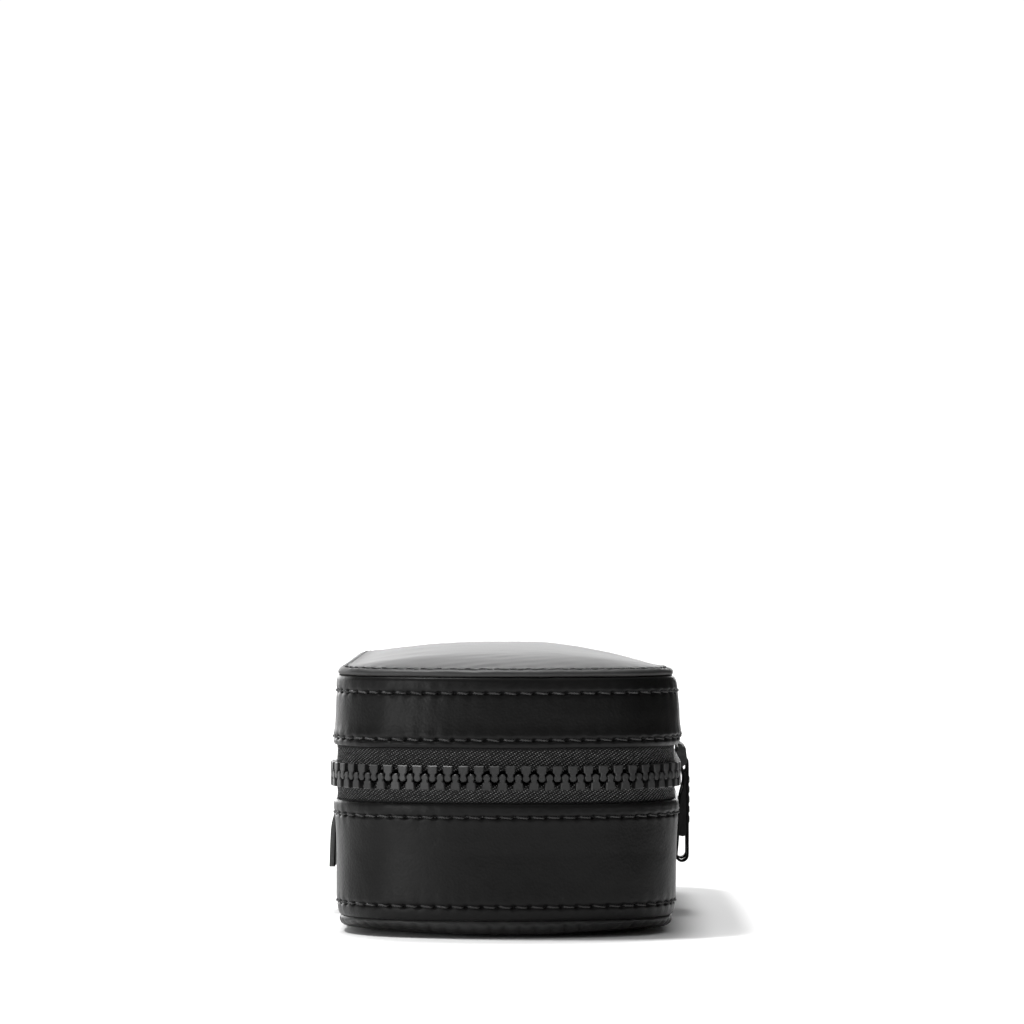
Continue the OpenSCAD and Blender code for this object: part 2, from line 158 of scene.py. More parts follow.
class Wire:
    """A node's output socket that takes part in Python expressions."""

    def __init__(self, tree: "Nodes", socket: bpy.types.NodeSocket) -> None:
        """Keeps the socket and the tree that it belongs to."""
        self.tree = tree
        self.socket = socket

    def _math(self, operation: str, *values: "Wire | float") -> "Wire":
        """Adds a Math node.

        Args:
            operation: The Math node's operation.
            values: Its inputs in order.

        Returns:
            The node's output.
        """
        inputs = dict(enumerate(values))
        return self.tree.add("ShaderNodeMath", {"operation": operation}, inputs)

    def __add__(self, other: "Wire | float") -> "Wire":
        """Sum."""
        return self._math("ADD", self, other)

    __radd__ = __add__

    def __sub__(self, other: "Wire | float") -> "Wire":
        """Difference."""
        return self._math("SUBTRACT", self, other)

    def __rsub__(self, other: float) -> "Wire":
        """Difference, reflected."""
        return self._math("SUBTRACT", other, self)

    def __mul__(self, other: "Wire | float") -> "Wire":
        """Product."""
        return self._math("MULTIPLY", self, other)

    __rmul__ = __mul__

    def call(self, operation: str, *more: "Wire | float") -> "Wire":
        """Any other Math operation, such as SINE or FRACT."""
        return self._math(operation, self, *more)

    def ramp(self, low: float, high: float) -> "Wire":
        """Maps low..high smoothly to 0..1."""
        kind = {"interpolation_type": "SMOOTHSTEP"}
        return self.tree.add("ShaderNodeMapRange", kind, {0: self, 1: low, 2: high})


class Nodes:
    """Builds one material's node tree."""

    def __init__(self, tree: bpy.types.NodeTree) -> None:
        """Empties the tree."""
        self.tree = tree
        tree.nodes.clear()

    def add(
        self,
        kind: str,
        settings: dict[str, object] | None = None,
        inputs: dict[int | str, object] | None = None,
        output: int | str = 0,
    ) -> Wire:
        """Adds a node, sets it up and wires its inputs.

        Args:
            kind: The node's type.
            settings: Attributes of the node, set first.
            inputs: Values or wires by socket name or index.
            output: The output to return.

        Returns:
            That output.
        """
        node = self.tree.nodes.new(kind)
        for key, value in (settings or {}).items():
            setattr(node, key, value)
        for key, value in (inputs or {}).items():
            if isinstance(value, Wire):
                self.tree.links.new(value.socket, node.inputs[key])
            else:
                node.inputs[key].default_value = value
        return Wire(self, node.outputs[output]) if len(node.outputs) else None

    def place(self, source: str = "Object") -> Wire:
        """A coordinate: Object, or UV in millimetres along and across."""
        return self.add("ShaderNodeTexCoord", output=source)

    def noise(self, where: Wire, scale: float, detail: float = 3.0) -> Wire:
        """Fractal noise of a scale per metre."""
        return self.add(
            "ShaderNodeTexNoise", None, {"Vector": where, "Scale": scale, "Detail": detail}
        )

    def cells(self, where: Wire, scale: float) -> Wire:
        """Distance to the nearest cell's centre."""
        return self.add("ShaderNodeTexVoronoi", None, {"Vector": where, "Scale": scale})

    def mix(self, mask: Wire, first: Sequence[float], second: Sequence[float]) -> Wire:
        """Mixes two colours by a mask."""
        kind = {"data_type": "RGBA"}
        return self.add("ShaderNodeMix", kind, {0: mask, 6: first, 7: second}, 2)

    def bump(self, height: Wire, strength: float, depth: float) -> Wire:
        """A normal from a height field, its depth in metres."""
        sockets = {"Height": height, "Strength": strength, "Distance": depth}
        return self.add("ShaderNodeBump", None, sockets)


def grey(value: float, warm: float = 0.0) -> tuple[float, float, float, float]:
    """A near-black or grey of one linear value, slightly warm if asked."""
    return (value * (1 + warm), value, value * (1 - warm), 1.0)


@dataclass(frozen=True)
class Finish:
    """A named surface. Subclasses fill in its nodes."""

    name: str

    def surface(self, nodes: Nodes) -> dict[str, object]:
        """The sockets of the surface shader: here, a plain one."""
        return {}

    def make(self) -> Material:
        """Builds the material once and returns it from then on."""
        known = bpy.data.materials.get(self.name)
        if known is not None:
            return known
        material = bpy.data.materials.new(self.name)
        material.use_nodes = True
        nodes = Nodes(material.node_tree)
        shader = nodes.add("ShaderNodeBsdfPrincipled", None, self.surface(nodes))
        nodes.add("ShaderNodeOutputMaterial", None, {"Surface": shader})
        return material


@dataclass(frozen=True)
class Leather(Finish):
    """Coated leather with a fine grain, faint scuffs and soft mottling."""

    tone: float = 0.010
    rough: float = 0.5
    specular: float = 0.4
    grain: float = 1500.0
    relief: float = 0.7
    scuffs: float = 0.010

    def surface(self, nodes: Nodes) -> dict[str, object]:
        """Grain in the normal, scuffs in the colour and the roughness."""
        where = nodes.place()
        fine = nodes.noise(where, self.grain, 4.0)
        cells = nodes.cells(where, self.grain * 0.9)
        broad = nodes.noise(where, 60.0, 3.0)
        scuff = (nodes.noise(where, 420.0, 5.0) * fine).ramp(0.36, 0.52)
        marks = scuff * broad.ramp(0.4, 0.62)
        plain = grey(self.tone, 0.01)
        return {
            "Base Color": nodes.mix(marks, plain, grey(self.tone + self.scuffs, 0.01)),
            "Roughness": self.rough + (broad - 0.5) * 0.12 - marks * 0.06 + (fine - 0.5) * 0.16,
            "Specular IOR Level": self.specular,
            "Normal": nodes.bump(fine * 0.7 + cells * 0.5, self.relief, 0.00008),
        }


@dataclass(frozen=True)
class RawEdge(Finish):
    """The cut and painted edge of a strap: greyer, with layers of fibre."""

    tone: float = 0.09

    def surface(self, nodes: Nodes) -> dict[str, object]:
        """Fibres in colour and normal."""
        where = nodes.place()
        fibre = nodes.noise(where, 2600.0, 5.0)
        layer = nodes.noise(where, 700.0, 2.0)
        return {
            "Base Color": nodes.mix(fibre * 0.6 + layer * 0.4, grey(self.tone * 0.6), grey(self.tone * 1.4)),
            "Roughness": 0.62 + fibre * 0.2,
            "Specular IOR Level": 0.3,
            "Normal": nodes.bump(fibre, 0.4, 0.00012),
        }


@dataclass(frozen=True)
class Suede(Finish):
    """Napped microfibre lining, brushed into soft patches."""

    tone: float = 0.035

    def surface(self, nodes: Nodes) -> dict[str, object]:
        """Nap in the colour and normal, with sheen."""
        where = nodes.place()
        nap = nodes.noise(where, 3200.0, 3.0)
        brushed = nodes.noise(where, 90.0, 4.0).ramp(0.35, 0.65)
        low, high = grey(self.tone * 0.6, 0.04), grey(self.tone * 1.5, 0.04)
        return {
            "Base Color": nodes.mix(nap * 0.5 + brushed * 0.5, low, high),
            "Roughness": 0.85 + nap * 0.1,
            "Specular IOR Level": 0.2,
            "Sheen Weight": 0.35,
            "Sheen Roughness": 0.4,
            "Normal": nodes.bump(nap, 0.5, 0.00015),
        }


@dataclass(frozen=True)
class Moulding(Finish):
    """Moulded acetal zip parts: satin, with a faint orange-peel skin."""

    tone: float = 0.013
    rough: float = 0.42

    def surface(self, nodes: Nodes) -> dict[str, object]:
        """Fine skin, dusty patches and specks."""
        where = nodes.place()
        skin = nodes.noise(where, 1900.0, 3.0)
        dust = nodes.noise(where, 260.0, 5.0).ramp(0.5, 0.75)
        return {
            "Base Color": nodes.mix(dust, grey(self.tone), grey(self.tone * 1.8)),
            "Roughness": self.rough + dust * 0.12 + (skin - 0.5) * 0.12,
            "Specular IOR Level": 0.5,
            "Normal": nodes.bump(skin, 0.2, 0.00005),
        }


@dataclass(frozen=True)
class WovenTape(Finish):
    """Polyester zip tape: each yarn's own crossing threads."""

    tone: float = 0.016

    def surface(self, nodes: Nodes) -> dict[str, object]:
        """Crossing threads, with painted highlights on the crests of the ribs and painted shade between them
        and near the leather's lip.
        """
        split = nodes.place("UV")
        along = nodes.add("ShaderNodeSeparateXYZ", None, {0: split}, 0)
        across = nodes.add("ShaderNodeSeparateXYZ", None, {0: split}, 1)
        slant = (along + across * WEAVE_SLANT) * (1 / WEAVE_RIB)
        rib = (slant * math.pi).call("SINE").call("ABSOLUTE")
        turn = (across * (1 / WEAVE_STEP) + slant.call("FLOOR") * 0.5) * (2 * math.pi)
        knot = turn.call("COSINE") * 0.5 + 0.5
        fuzz = nodes.noise(nodes.place(), 2600.0, 3.0)
        # Painted shade: the tape darkens towards the leather's lip, where it runs under it; 0 at the lip, 1
        # clear of it.
        out_of_lip_shade = across.call("ABSOLUTE").ramp(0.15, 0.8)
        # Painted highlight and shade: the crest mask lights the rib crests and darkens the hollows between
        # them, over real random fibre tone.
        crest = (rib * (knot * 0.9 + 0.1)).ramp(0.35, 0.95) * fuzz.ramp(0.3, 0.62) * (out_of_lip_shade * 0.9 + 0.1)
        return {
            # The dark grey is the painted shade in the hollows, the pale grey the painted highlight on the
            # crests.
            "Base Color": nodes.mix(crest, grey(self.tone * 0.05), grey(self.tone * 16.0)),
            "Roughness": 0.42 + fuzz * 0.2,
            "Specular IOR Level": 0.22,
            "Normal": nodes.bump(crest * 0.8 + fuzz * 0.2, 0.8, 0.00014),
        }


@dataclass(frozen=True)
class Thread(Finish):
    """Waxed polyester sewing thread."""

    tone: float = 0.014

    def surface(self, nodes: Nodes) -> dict[str, object]:
        """Fibres with a satin glint."""
        fibre = nodes.noise(nodes.place(), 5200.0, 3.0)
        return {
            "Base Color": nodes.mix(fibre, grey(self.tone * 0.3), grey(self.tone * 1.7)),
            "Roughness": 0.26 + fibre * 0.2,
            "Specular IOR Level": 0.95,
            "Normal": nodes.bump(fibre, 0.35, 0.00006),
        }


@dataclass(frozen=True)
class SatinMetal(Finish):
    """Black plated zinc, worn paler where fingers rub it."""

    tone: float = 0.03

    def surface(self, nodes: Nodes) -> dict[str, object]:
        """Rubbed patches in colour and roughness over cast skin."""
        where = nodes.place()
        rub = nodes.noise(where, 320.0, 4.0).ramp(0.42, 0.7)
        skin = nodes.noise(where, 2400.0, 3.0)
        return {
            "Base Color": nodes.mix(rub, grey(self.tone), grey(self.tone * 2.2)),
            "Metallic": 0.55,
            "Roughness": 0.3 + rub * 0.1 + skin * 0.1,
            "Normal": nodes.bump(skin, 0.12, 0.00004),
        }


@dataclass(frozen=True)
class GreyBoard(Finish):
    """Pressed greyboard with paper fibres."""

    tone: float = 0.3

    def surface(self, nodes: Nodes) -> dict[str, object]:
        """Flecks and fibres."""
        where = nodes.place()
        fleck = nodes.noise(where, 900.0, 5.0)
        return {
            "Base Color": nodes.mix(fleck, grey(self.tone * 0.7, 0.06), grey(self.tone * 1.2, 0.06)),
            "Roughness": 0.85 + fleck * 0.1,
            "Normal": nodes.bump(fleck, 0.3, 0.0001),
        }


SIDE_LEATHER = Leather("side_leather", tone=0.0045, rough=0.4, specular=0.17, scuffs=0.006)
TOP_LEATHER = Leather("top_leather", tone=0.012, rough=0.3, specular=0.6, relief=0.9, scuffs=0.014)
UNDER_LEATHER = Leather("underside_leather", tone=0.012, rough=0.45, specular=0.35)
STRAP_LEATHER = Leather("strap_leather", tone=0.004, rough=0.45, specular=0.16)
HINGE_LEATHER = Leather("hinge_leather", tone=0.010, rough=0.58, specular=0.35, relief=0.4)
CUT_EDGE = RawEdge("cut_edge")
DARK_EDGE = RawEdge("dark_cut_edge", tone=0.012)
LINING = Suede("suede_lining")
MOULDED = Moulding("moulded_zip")
TAPE = WovenTape("zip_tape_weave")
THREAD = Thread("sewing_thread")
BINDING = WovenTape("elastic_binding", tone=0.014)
BLACK_METAL = SatinMetal("satin_black_metal")
BOARD = GreyBoard("greyboard")


# ---- Plan and meshes --------------------------------------------------------


@dataclass(frozen=True)
class Outline:
    """The case's plan: straight sides, round corners, ends bowed on an arc.

    Points are counted by their distance along it from mid-front, first
    towards +X. Half an end turns by the small angle of a 5, 12, 13 triangle,
    and the sides of that triangle give its centre and radius.
    """

    off: float = 0.0
    half_x: float = 70.5
    half_y: float = 16.5
    corner: float = 24.5
    end_turn: float = math.atan2(5.0, 12.0)

    @property
    def end_centre(self) -> float:
        """X of the right end's centre."""
        return self.half_x - 12 / 5 * self.half_y

    @property
    def end_radius(self) -> float:
        """Radius of the ends."""
        return 13 / 5 * self.half_y + self.corner + self.off

    @property
    def corner_length(self) -> float:
        """Length of a corner's arc."""
        return (self.corner + self.off) * (math.pi / 2 - self.end_turn)

    @property
    def half(self) -> float:
        """Half of the whole length, mid-front to mid-back."""
        return 2 * (self.half_x + self.corner_length + self.end_radius * self.end_turn)

    def walk(self, along: Array) -> tuple[Array, Array, Array, Array]:
        """Points of the outline.

        Args:
            along: Distances from mid-front.

        Returns:
            x, y and the outward normal's x and y.
        """
        s = np.mod(np.asarray(along, float), 2 * self.half)
        side = np.where(s > self.half, -1.0, 1.0)
        s = np.where(s > self.half, 2 * self.half - s, s)
        r, big = self.corner + self.off, self.end_radius
        turn = math.pi / 2 - self.end_turn
        c0 = self.half_x
        c1 = c0 + self.corner_length
        c2 = c1 + 2 * big * self.end_turn
        c3 = c2 + self.corner_length
        angle = np.select(
            [s < c0, s < c1, s < c2, s < c3],
            [0 * s, (s - c0) / r, turn + (s - c1) / big, math.pi - turn + (s - c2) / r],
            math.pi,
        )
        nx, ny = np.sin(angle), -np.cos(angle)
        half_w = self.half_y + r
        x = np.select(
            [s < c0, s < c1, s < c2, s < c3],
            [s, self.half_x + r * nx, self.end_centre + big * nx, self.half_x + r * nx],
            self.half_x + c3 - s,
        )
        y = np.select(
            [s < c0, s < c1, s < c2, s < c3],
            [-half_w + 0 * s, -self.half_y + r * ny, big * ny, self.half_y + r * ny],
            half_w,
        )
        return side * x, y, side * nx, ny

    def stations(self, step: float) -> Array:
        """Evenly spaced distances all round, closed."""
        count = int(round(2 * self.half / step))
        return np.arange(count) * (2 * self.half / count)

    def inside(self, x: Array, y: Array) -> Array:
        """Distance inwards from the outline, negative outside."""
        ax, ay = np.abs(x), np.abs(y)
        corner = self.corner + self.off - np.hypot(ax - self.half_x, ay - self.half_y)
        end = self.end_radius - np.hypot(ax - self.end_centre, ay)
        long_side = self.half_y + self.corner + self.off - ay
        on_end = (ax - self.end_centre) * 5 > ay * 12
        on_corner = (ax > self.half_x) & (ay > self.half_y)
        return np.where(on_end & (ax > self.end_centre), end, np.where(on_corner, corner, long_side))


PLAN = Outline()


def ripple(a: Array, b: Array, size: float, seed: int, terms: int = 7) -> Array:
    """A smooth wavy field that repeats round the case.

    Args:
        a: Distance round the plan.
        b: Distance across.
        size: Length of the shortest waves.
        seed: Seed of the waves.
        terms: How many waves are added.

    Returns:
        Values of about -1 to 1.
    """
    rng = np.random.default_rng(seed)
    total = np.zeros(np.broadcast(a, b).shape)
    for _ in range(terms):
        turns = rng.integers(1, max(2, int(2 * PLAN.half / size)))
        across = rng.uniform(-1, 1) * 2 * math.pi / size
        phase = rng.uniform(0, 2 * math.pi)
        total = total + np.sin(a * turns * math.pi / PLAN.half + b * across + phase)
    return total / terms * 1.6


def smooth(value: Array, low: float, high: float) -> Array:
    """Smoothstep of a value from low to high."""
    t = np.clip((value - low) / (high - low), 0, 1)
    return t * t * (3 - 2 * t)


def settle(points: Array) -> Array:
    """Lets the lid's front edge sink under the zip's pull, most at the far end.

    Args:
        points: Points of a piece of the lid, in millimetres.

    Returns:
        The same points, sunk.
    """
    x, y, z = points[..., 0], points[..., 1], points[..., 2]
    drop = 2.9 * smooth(x, -96, 60) + 0.9 * smooth(x, 0, 90)
    drop = drop * smooth(-y, 5, 41) * smooth(z, 47, 61)
    out = np.array(points, float)
    out[..., 2] = z - drop
    return out


class Piece:
    """Gathers points and faces in millimetres and makes one object of them."""

    def __init__(self, name: str) -> None:
        """Starts empty."""
        self.name = name
        self.verts: list[Array] = []
        self.faces: list[list[int]] = []
        self.uvs: list[Array] = []
        self.marks: list[int] = []
        self.count = 0

    def points(self, points: Array) -> int:
        """Adds points and returns the index of the first."""
        flat = np.asarray(points, float).reshape(-1, 3)
        start = self.count
        self.verts.append(flat)
        self.count += len(flat)
        return start

    def face(self, corners: Iterable[int]) -> None:
        """Adds one face of the first material."""
        row = [int(c) for c in corners]
        self.faces.append(row)
        self.uvs.append(np.zeros((len(row), 2)))
        self.marks.append(0)

    def grid(
        self,
        points: Array,
        around: bool = False,
        along: bool = True,
        uv: tuple[Array, Array] | None = None,
    ) -> None:
        """Adds a grid of rows by columns.

        Args:
            points: Array of rows, columns and 3.
            around: Whether the last row joins the first.
            along: Whether the last column joins the first.
            uv: Distances along the columns and across the rows, one longer
                than the grid where it closes.
        """
        rows, cols = points.shape[:2]
        start = self.points(points)
        r = np.arange(rows if around else rows - 1)
        c = np.arange(cols if along else cols - 1)
        rr, cc = (m.ravel() for m in np.meshgrid(r, c, indexing="ij"))
        steps = [(rr, cc), (rr, cc + 1), (rr + 1, cc + 1), (rr + 1, cc)]
        quads = np.stack([start + (a % rows) * cols + b % cols for a, b in steps], 1)
        self.faces.extend(quads.tolist())
        self.marks.extend([0] * len(quads))
        if uv is None:
            self.uvs.extend(np.zeros((len(quads), 4, 2)))
        else:
            u, v = uv
            self.uvs.extend(np.stack([np.stack([u[b], v[a]], 1) for a, b in steps], 1))
        if around and not along:
            self.face(start + np.arange(rows) * cols)
            self.face(start + np.arange(rows)[::-1] * cols + cols - 1)

    def make(self, *finishes: Finish, flat: bool = False) -> Object:
        """Makes the object.

        Args:
            finishes: Its materials in the order of the marks.
            flat: Whether faces are shaded flat.

        Returns:
            The object, in metres.
        """
        mesh = bpy.data.meshes.new(self.name)
        mesh.from_pydata((np.concatenate(self.verts) * MM).tolist(), [], self.faces)
        mesh.polygons.foreach_set("material_index", self.marks)
        layer = mesh.uv_layers.new(name="UVMap")
        layer.data.foreach_set("uv", np.concatenate(self.uvs).astype(np.float32).ravel())
        for finish in finishes:
            mesh.materials.append(finish.make())
        bm = bmesh.new()
        bm.from_mesh(mesh)
        bmesh.ops.recalc_face_normals(bm, faces=bm.faces)
        bm.to_mesh(mesh)
        bm.free()
        mesh.polygons.foreach_set("use_smooth", [not flat] * len(mesh.polygons))
        mesh.validate()
        mesh.update()
        made = bpy.data.objects.new(self.name, mesh)
        bpy.context.scene.collection.objects.link(made)
        return made


def install(obj: Object, body: Body, slot: Slot, *nodes: str) -> Object:
    """Puts a piece on its body, hides the CAD nodes that it replaces and logs its size.

    Args:
        obj: The piece.
        body: The body that it rides on.
        slot: Not used.
        nodes: CAD nodes that it replaces.

    Returns:
        The piece.
    """
    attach(obj, body.value)
    if nodes:
        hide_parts(*nodes)
    LOG.info("%s: %d points on %s", obj.name, len(obj.data.vertices), body.value)
    return obj


def ring(s: Array, off: Array, z: Array, plan: Outline = PLAN) -> Array:
    """Points round the plan.

    Args:
        s: Distances along, one per column.
        off: Distances out, per row or per row and column.
        z: Levels, likewise.
        plan: The outline.

    Returns:
        Rows by columns by 3.
    """
    off, z = np.asarray(off, float), np.asarray(z, float)
    if off.ndim == 1:
        off = np.repeat(off[:, None], len(s), 1)
    if z.ndim == 1:
        z = np.repeat(z[:, None], len(s), 1)
    x, y, nx, ny = plan.walk(s)
    return np.stack([x + nx * off, y + ny * off, z], -1)


def split(section: Sequence[tuple[float, float]]) -> tuple[Array, Array]:
    """A section's offsets and its heights."""
    return np.array([p[0] for p in section]), np.array([p[1] for p in section])


def lengths(points: Sequence[tuple[float, float]]) -> Array:
    """Running length along a closed run of points, one longer than it."""
    p = np.asarray(list(points) + [points[0]], float)
    return np.concatenate([[0], np.cumsum(np.hypot(*np.diff(p, axis=0).T))])


# ---- Stitching --------------------------------------------------------------


@dataclass(frozen=True)
class Seam:
    """One row of saddle stitches round the case."""

    level: float
    pitch: float = 3.84
    length: float = 3.15
    slant: float = 0.10
    phase: float = 0.0
    seed: int = 1

    @property
    def count(self) -> int:
        """Stitches in the row."""
        return int(round(2 * PLAN.half / self.pitch))

    @property
    def step(self) -> float:
        """Real distance between stitches, so that the row closes."""
        return 2 * PLAN.half / self.count

    def dip(self, s: Array, across: Array, depth: float = 0.6) -> Array:
        """How far the row pulls the leather in.

        Args:
            s: Distance round the case.
            across: Distance from the row.
            depth: Depth of the needle holes.

        Returns:
            Displacement along the normal, mostly negative.
        """
        from_hole = np.mod(s / self.step - self.phase + 0.5, 1.0) - 0.5
        ds = from_hole * self.step
        hole = np.exp(-((ds / 0.5) ** 2) - (across / 0.42) ** 2)
        groove = np.exp(-((across / 0.54) ** 2))
        swell = np.cos(2 * math.pi * from_hole)
        uneven = 0.75 + 0.5 * ripple(s, across * 0, 9.0, self.seed)
        raised = 0.10 * (0.4 - swell) * uneven * np.exp(-np.abs(across) / 1.6)
        return -depth * 1.3 * hole - 0.3 * groove + raised

    def sew(self, piece: Piece, surface: Callable[[Array, Array], Array]) -> None:
        """Adds the twisted stitches to a piece.

        Args:
            piece: Where they are added.
            surface: Gives points (N, 3) and outward normals (N, 3), stacked
                on the first axis, for distances round and across.
        """
        rng = np.random.default_rng(self.seed)
        sides, steps, radius, twist, lay = 5, 15, 0.125, 0.145, 1.3
        t = np.linspace(0, 1, steps)
        ring_angle = np.arange(sides) * 2 * math.pi / sides
        for k in range(self.count):
            centre = (k + 0.5 + self.phase) * self.step + rng.uniform(-0.12, 0.12)
            length = self.length * rng.uniform(0.9, 1.04)
            tilt = self.slant + rng.uniform(-0.09, 0.09)
            s = centre + (t - 0.5) * length
            across = (0.5 - t) * tilt * 2
            base, normal = surface(s, across)
            lift = 0.2 * np.sin(math.pi * t) ** 0.5 - 0.5 * (np.abs(2 * t - 1) ** 5)
            path = base + normal * (lift + 0.05)[:, None]
            tangent = np.gradient(path, axis=0)
            tangent /= np.linalg.norm(tangent, axis=1)[:, None]
            side = np.cross(tangent, normal)
            side /= np.linalg.norm(side, axis=1)[:, None]
            up = np.cross(side, tangent)
            turn0 = rng.uniform(0, math.pi)
            for strand in (0.0, math.pi):
                turn = 2 * math.pi * t * length / lay + strand + turn0
                core = path + twist * (np.cos(turn)[:, None] * side + np.sin(turn)[:, None] * up)
                tube = core[None] + radius * (
                    np.cos(ring_angle)[:, None, None] * side[None]
                    + np.sin(ring_angle)[:, None, None] * up[None]
                )
                piece.grid(tube, around=True, along=False)


def wall_surface(
    shape: Callable[[Array, Array], Array], level: float, fix: Callable[[Array], Array] | None = None
) -> Callable[[Array, Array], Array]:
    """The surface that a seam on an upright wall is sewn to.

    Args:
        shape: Distance out for distance round and level.
        level: The seam's level.
        fix: A last change of points, such as settling.

    Returns:
        A function for Seam.sew.
    """

    def surface(s: Array, across: Array) -> Array:
        """Points and normals on the wall."""
        x, y, nx, ny = PLAN.walk(s)
        z = level + across
        off = shape(s, z)
        points = np.stack([x + nx * off, y + ny * off, z], -1)
        return np.stack([fix(points) if fix else points, np.stack([nx, ny, 0 * nx], -1)])

    return surface


# ---- Bands ------------------------------------------------------------------


@dataclass
class Band:
    """The leather wall of one half of the case, turned in at both edges."""

    name: str
    node: str
    body: Body
    lip: float
    edge: float
    seams: tuple[Seam, Seam]
    bulge: float = 0.0
    bow: float = 0.0
    tuck: float = 0.0
    step: float = 0.32
    fix: Callable[[Array], Array] | None = None
    seed: int = 3

    @property
    def way(self) -> float:
        """1 where the lip is the lower edge, else -1."""
        return 1.0 if self.edge > self.lip else -1.0

    def out(self, s: Array, z: Array) -> Array:
        """Distance of the leather's face from the plan.

        Args:
            s: Distance round the case.
            z: Level.

        Returns:
            Distance out.
        """
        s, z = np.broadcast_arrays(np.asarray(s, float), np.asarray(z, float))
        h = (z - self.lip) * self.way
        g = (self.edge - z) * self.way
        lip_h = [0, 0.12, 0.4, 0.8, 1.3, 2.2, 3.2, 4.2, 5.4, 7.0, 12.0]
        lip_o = [0.1, 0.36, 0.56, 0.66, 0.68, 0.64, 0.56, 0.4, 0.28, 0.2, 0.0]
        edge_g = [0, 0.12, 0.4, 0.8, 1.5]
        edge_o = [-0.55, -0.36, -0.17, -0.06, 0.0]
        off = np.interp(h, lip_h, lip_o) + np.interp(g, edge_g, edge_o)
        off = off - self.tuck * (1 - smooth(g, 0, 6.5)) ** 2
        height = abs(self.edge - self.lip)
        belly = np.interp(h / height, [0, 0.1, 0.25, 0.5, 0.8, 0.92, 1], [0.4, 0.8, 0.95, 1, 0.72, 0.4, 0.1])
        x, y, _, _ = PLAN.walk(s)
        off = off + self.bulge * belly * smooth(-y, -10, 38)
        off = off + self.bow * belly * np.clip(1 - (x / 68) ** 2, 0, 1) * (y < 0)
        for seam in self.seams:
            off = off + seam.dip(s, z - seam.level)
        calm = smooth(h, 0, 2) * smooth(g, 0, 2)
        off = off + 0.10 * ripple(s, z, 26.0, self.seed) * calm
        return off + 0.035 * ripple(s, z, 6.0, self.seed + 1, 11) * calm

    def levels(self) -> Array:
        """Levels of the rows, closer at the edges and the seams."""
        low, high = sorted((self.lip, self.edge))
        z = [low + 0.0, low + 0.12, low + 0.3, low + 0.55, low + 0.9]
        marks = sorted(seam.level for seam in self.seams)
        while z[-1] < high - 1.2:
            near = min(abs(z[-1] - m) for m in marks)
            z.append(z[-1] + (0.26 if near < 1.2 else 0.75))
        z += [high - 0.9, high - 0.55, high - 0.3, high - 0.12, high]
        return np.unique(np.round(z, 3))

    def build(self) -> None:
        """Makes the wall and its two seams."""
        s = PLAN.stations(self.step)
        z = self.levels()
        wave = 0.11 * ripple(s, 0 * s, 13.0, self.seed + 5)
        grid_s, grid_z = np.meshgrid(s, z)
        off = self.out(grid_s, grid_z)
        near_lip = np.exp(-np.abs(grid_z - self.lip) / 1.5)
        level = grid_z + wave[None] * near_lip
        back_z = np.linspace(z[-1], z[0], 5)
        hidden = np.abs(back_z - self.lip) < 4.8
        back_off = np.where(hidden, TAPE_FACE + 0.02, -0.98)
        off = np.concatenate([off, np.repeat(back_off[:, None], len(s), 1)])
        level = np.concatenate([level, np.repeat(back_z[:, None], len(s), 1)])
        points = ring(s, off, level)
        if self.fix:
            points = self.fix(points)
        around = np.concatenate([z, 2 * z[-1] - back_z + 1, [z[-1] * 2]])
        piece = Piece(self.name)
        piece.grid(points, around=True, uv=(np.append(s, 2 * PLAN.half), around))
        install(piece.make(SIDE_LEATHER), self.body, Slot.BLACK, self.node)
        thread = Piece(self.name + "_stitches")
        for seam in self.seams:
            seam.sew(thread, wall_surface(self.out, seam.level, self.fix))
        install(thread.make(THREAD), self.body, Slot.BLACK)


# ---- Padded top and underside -----------------------------------------------


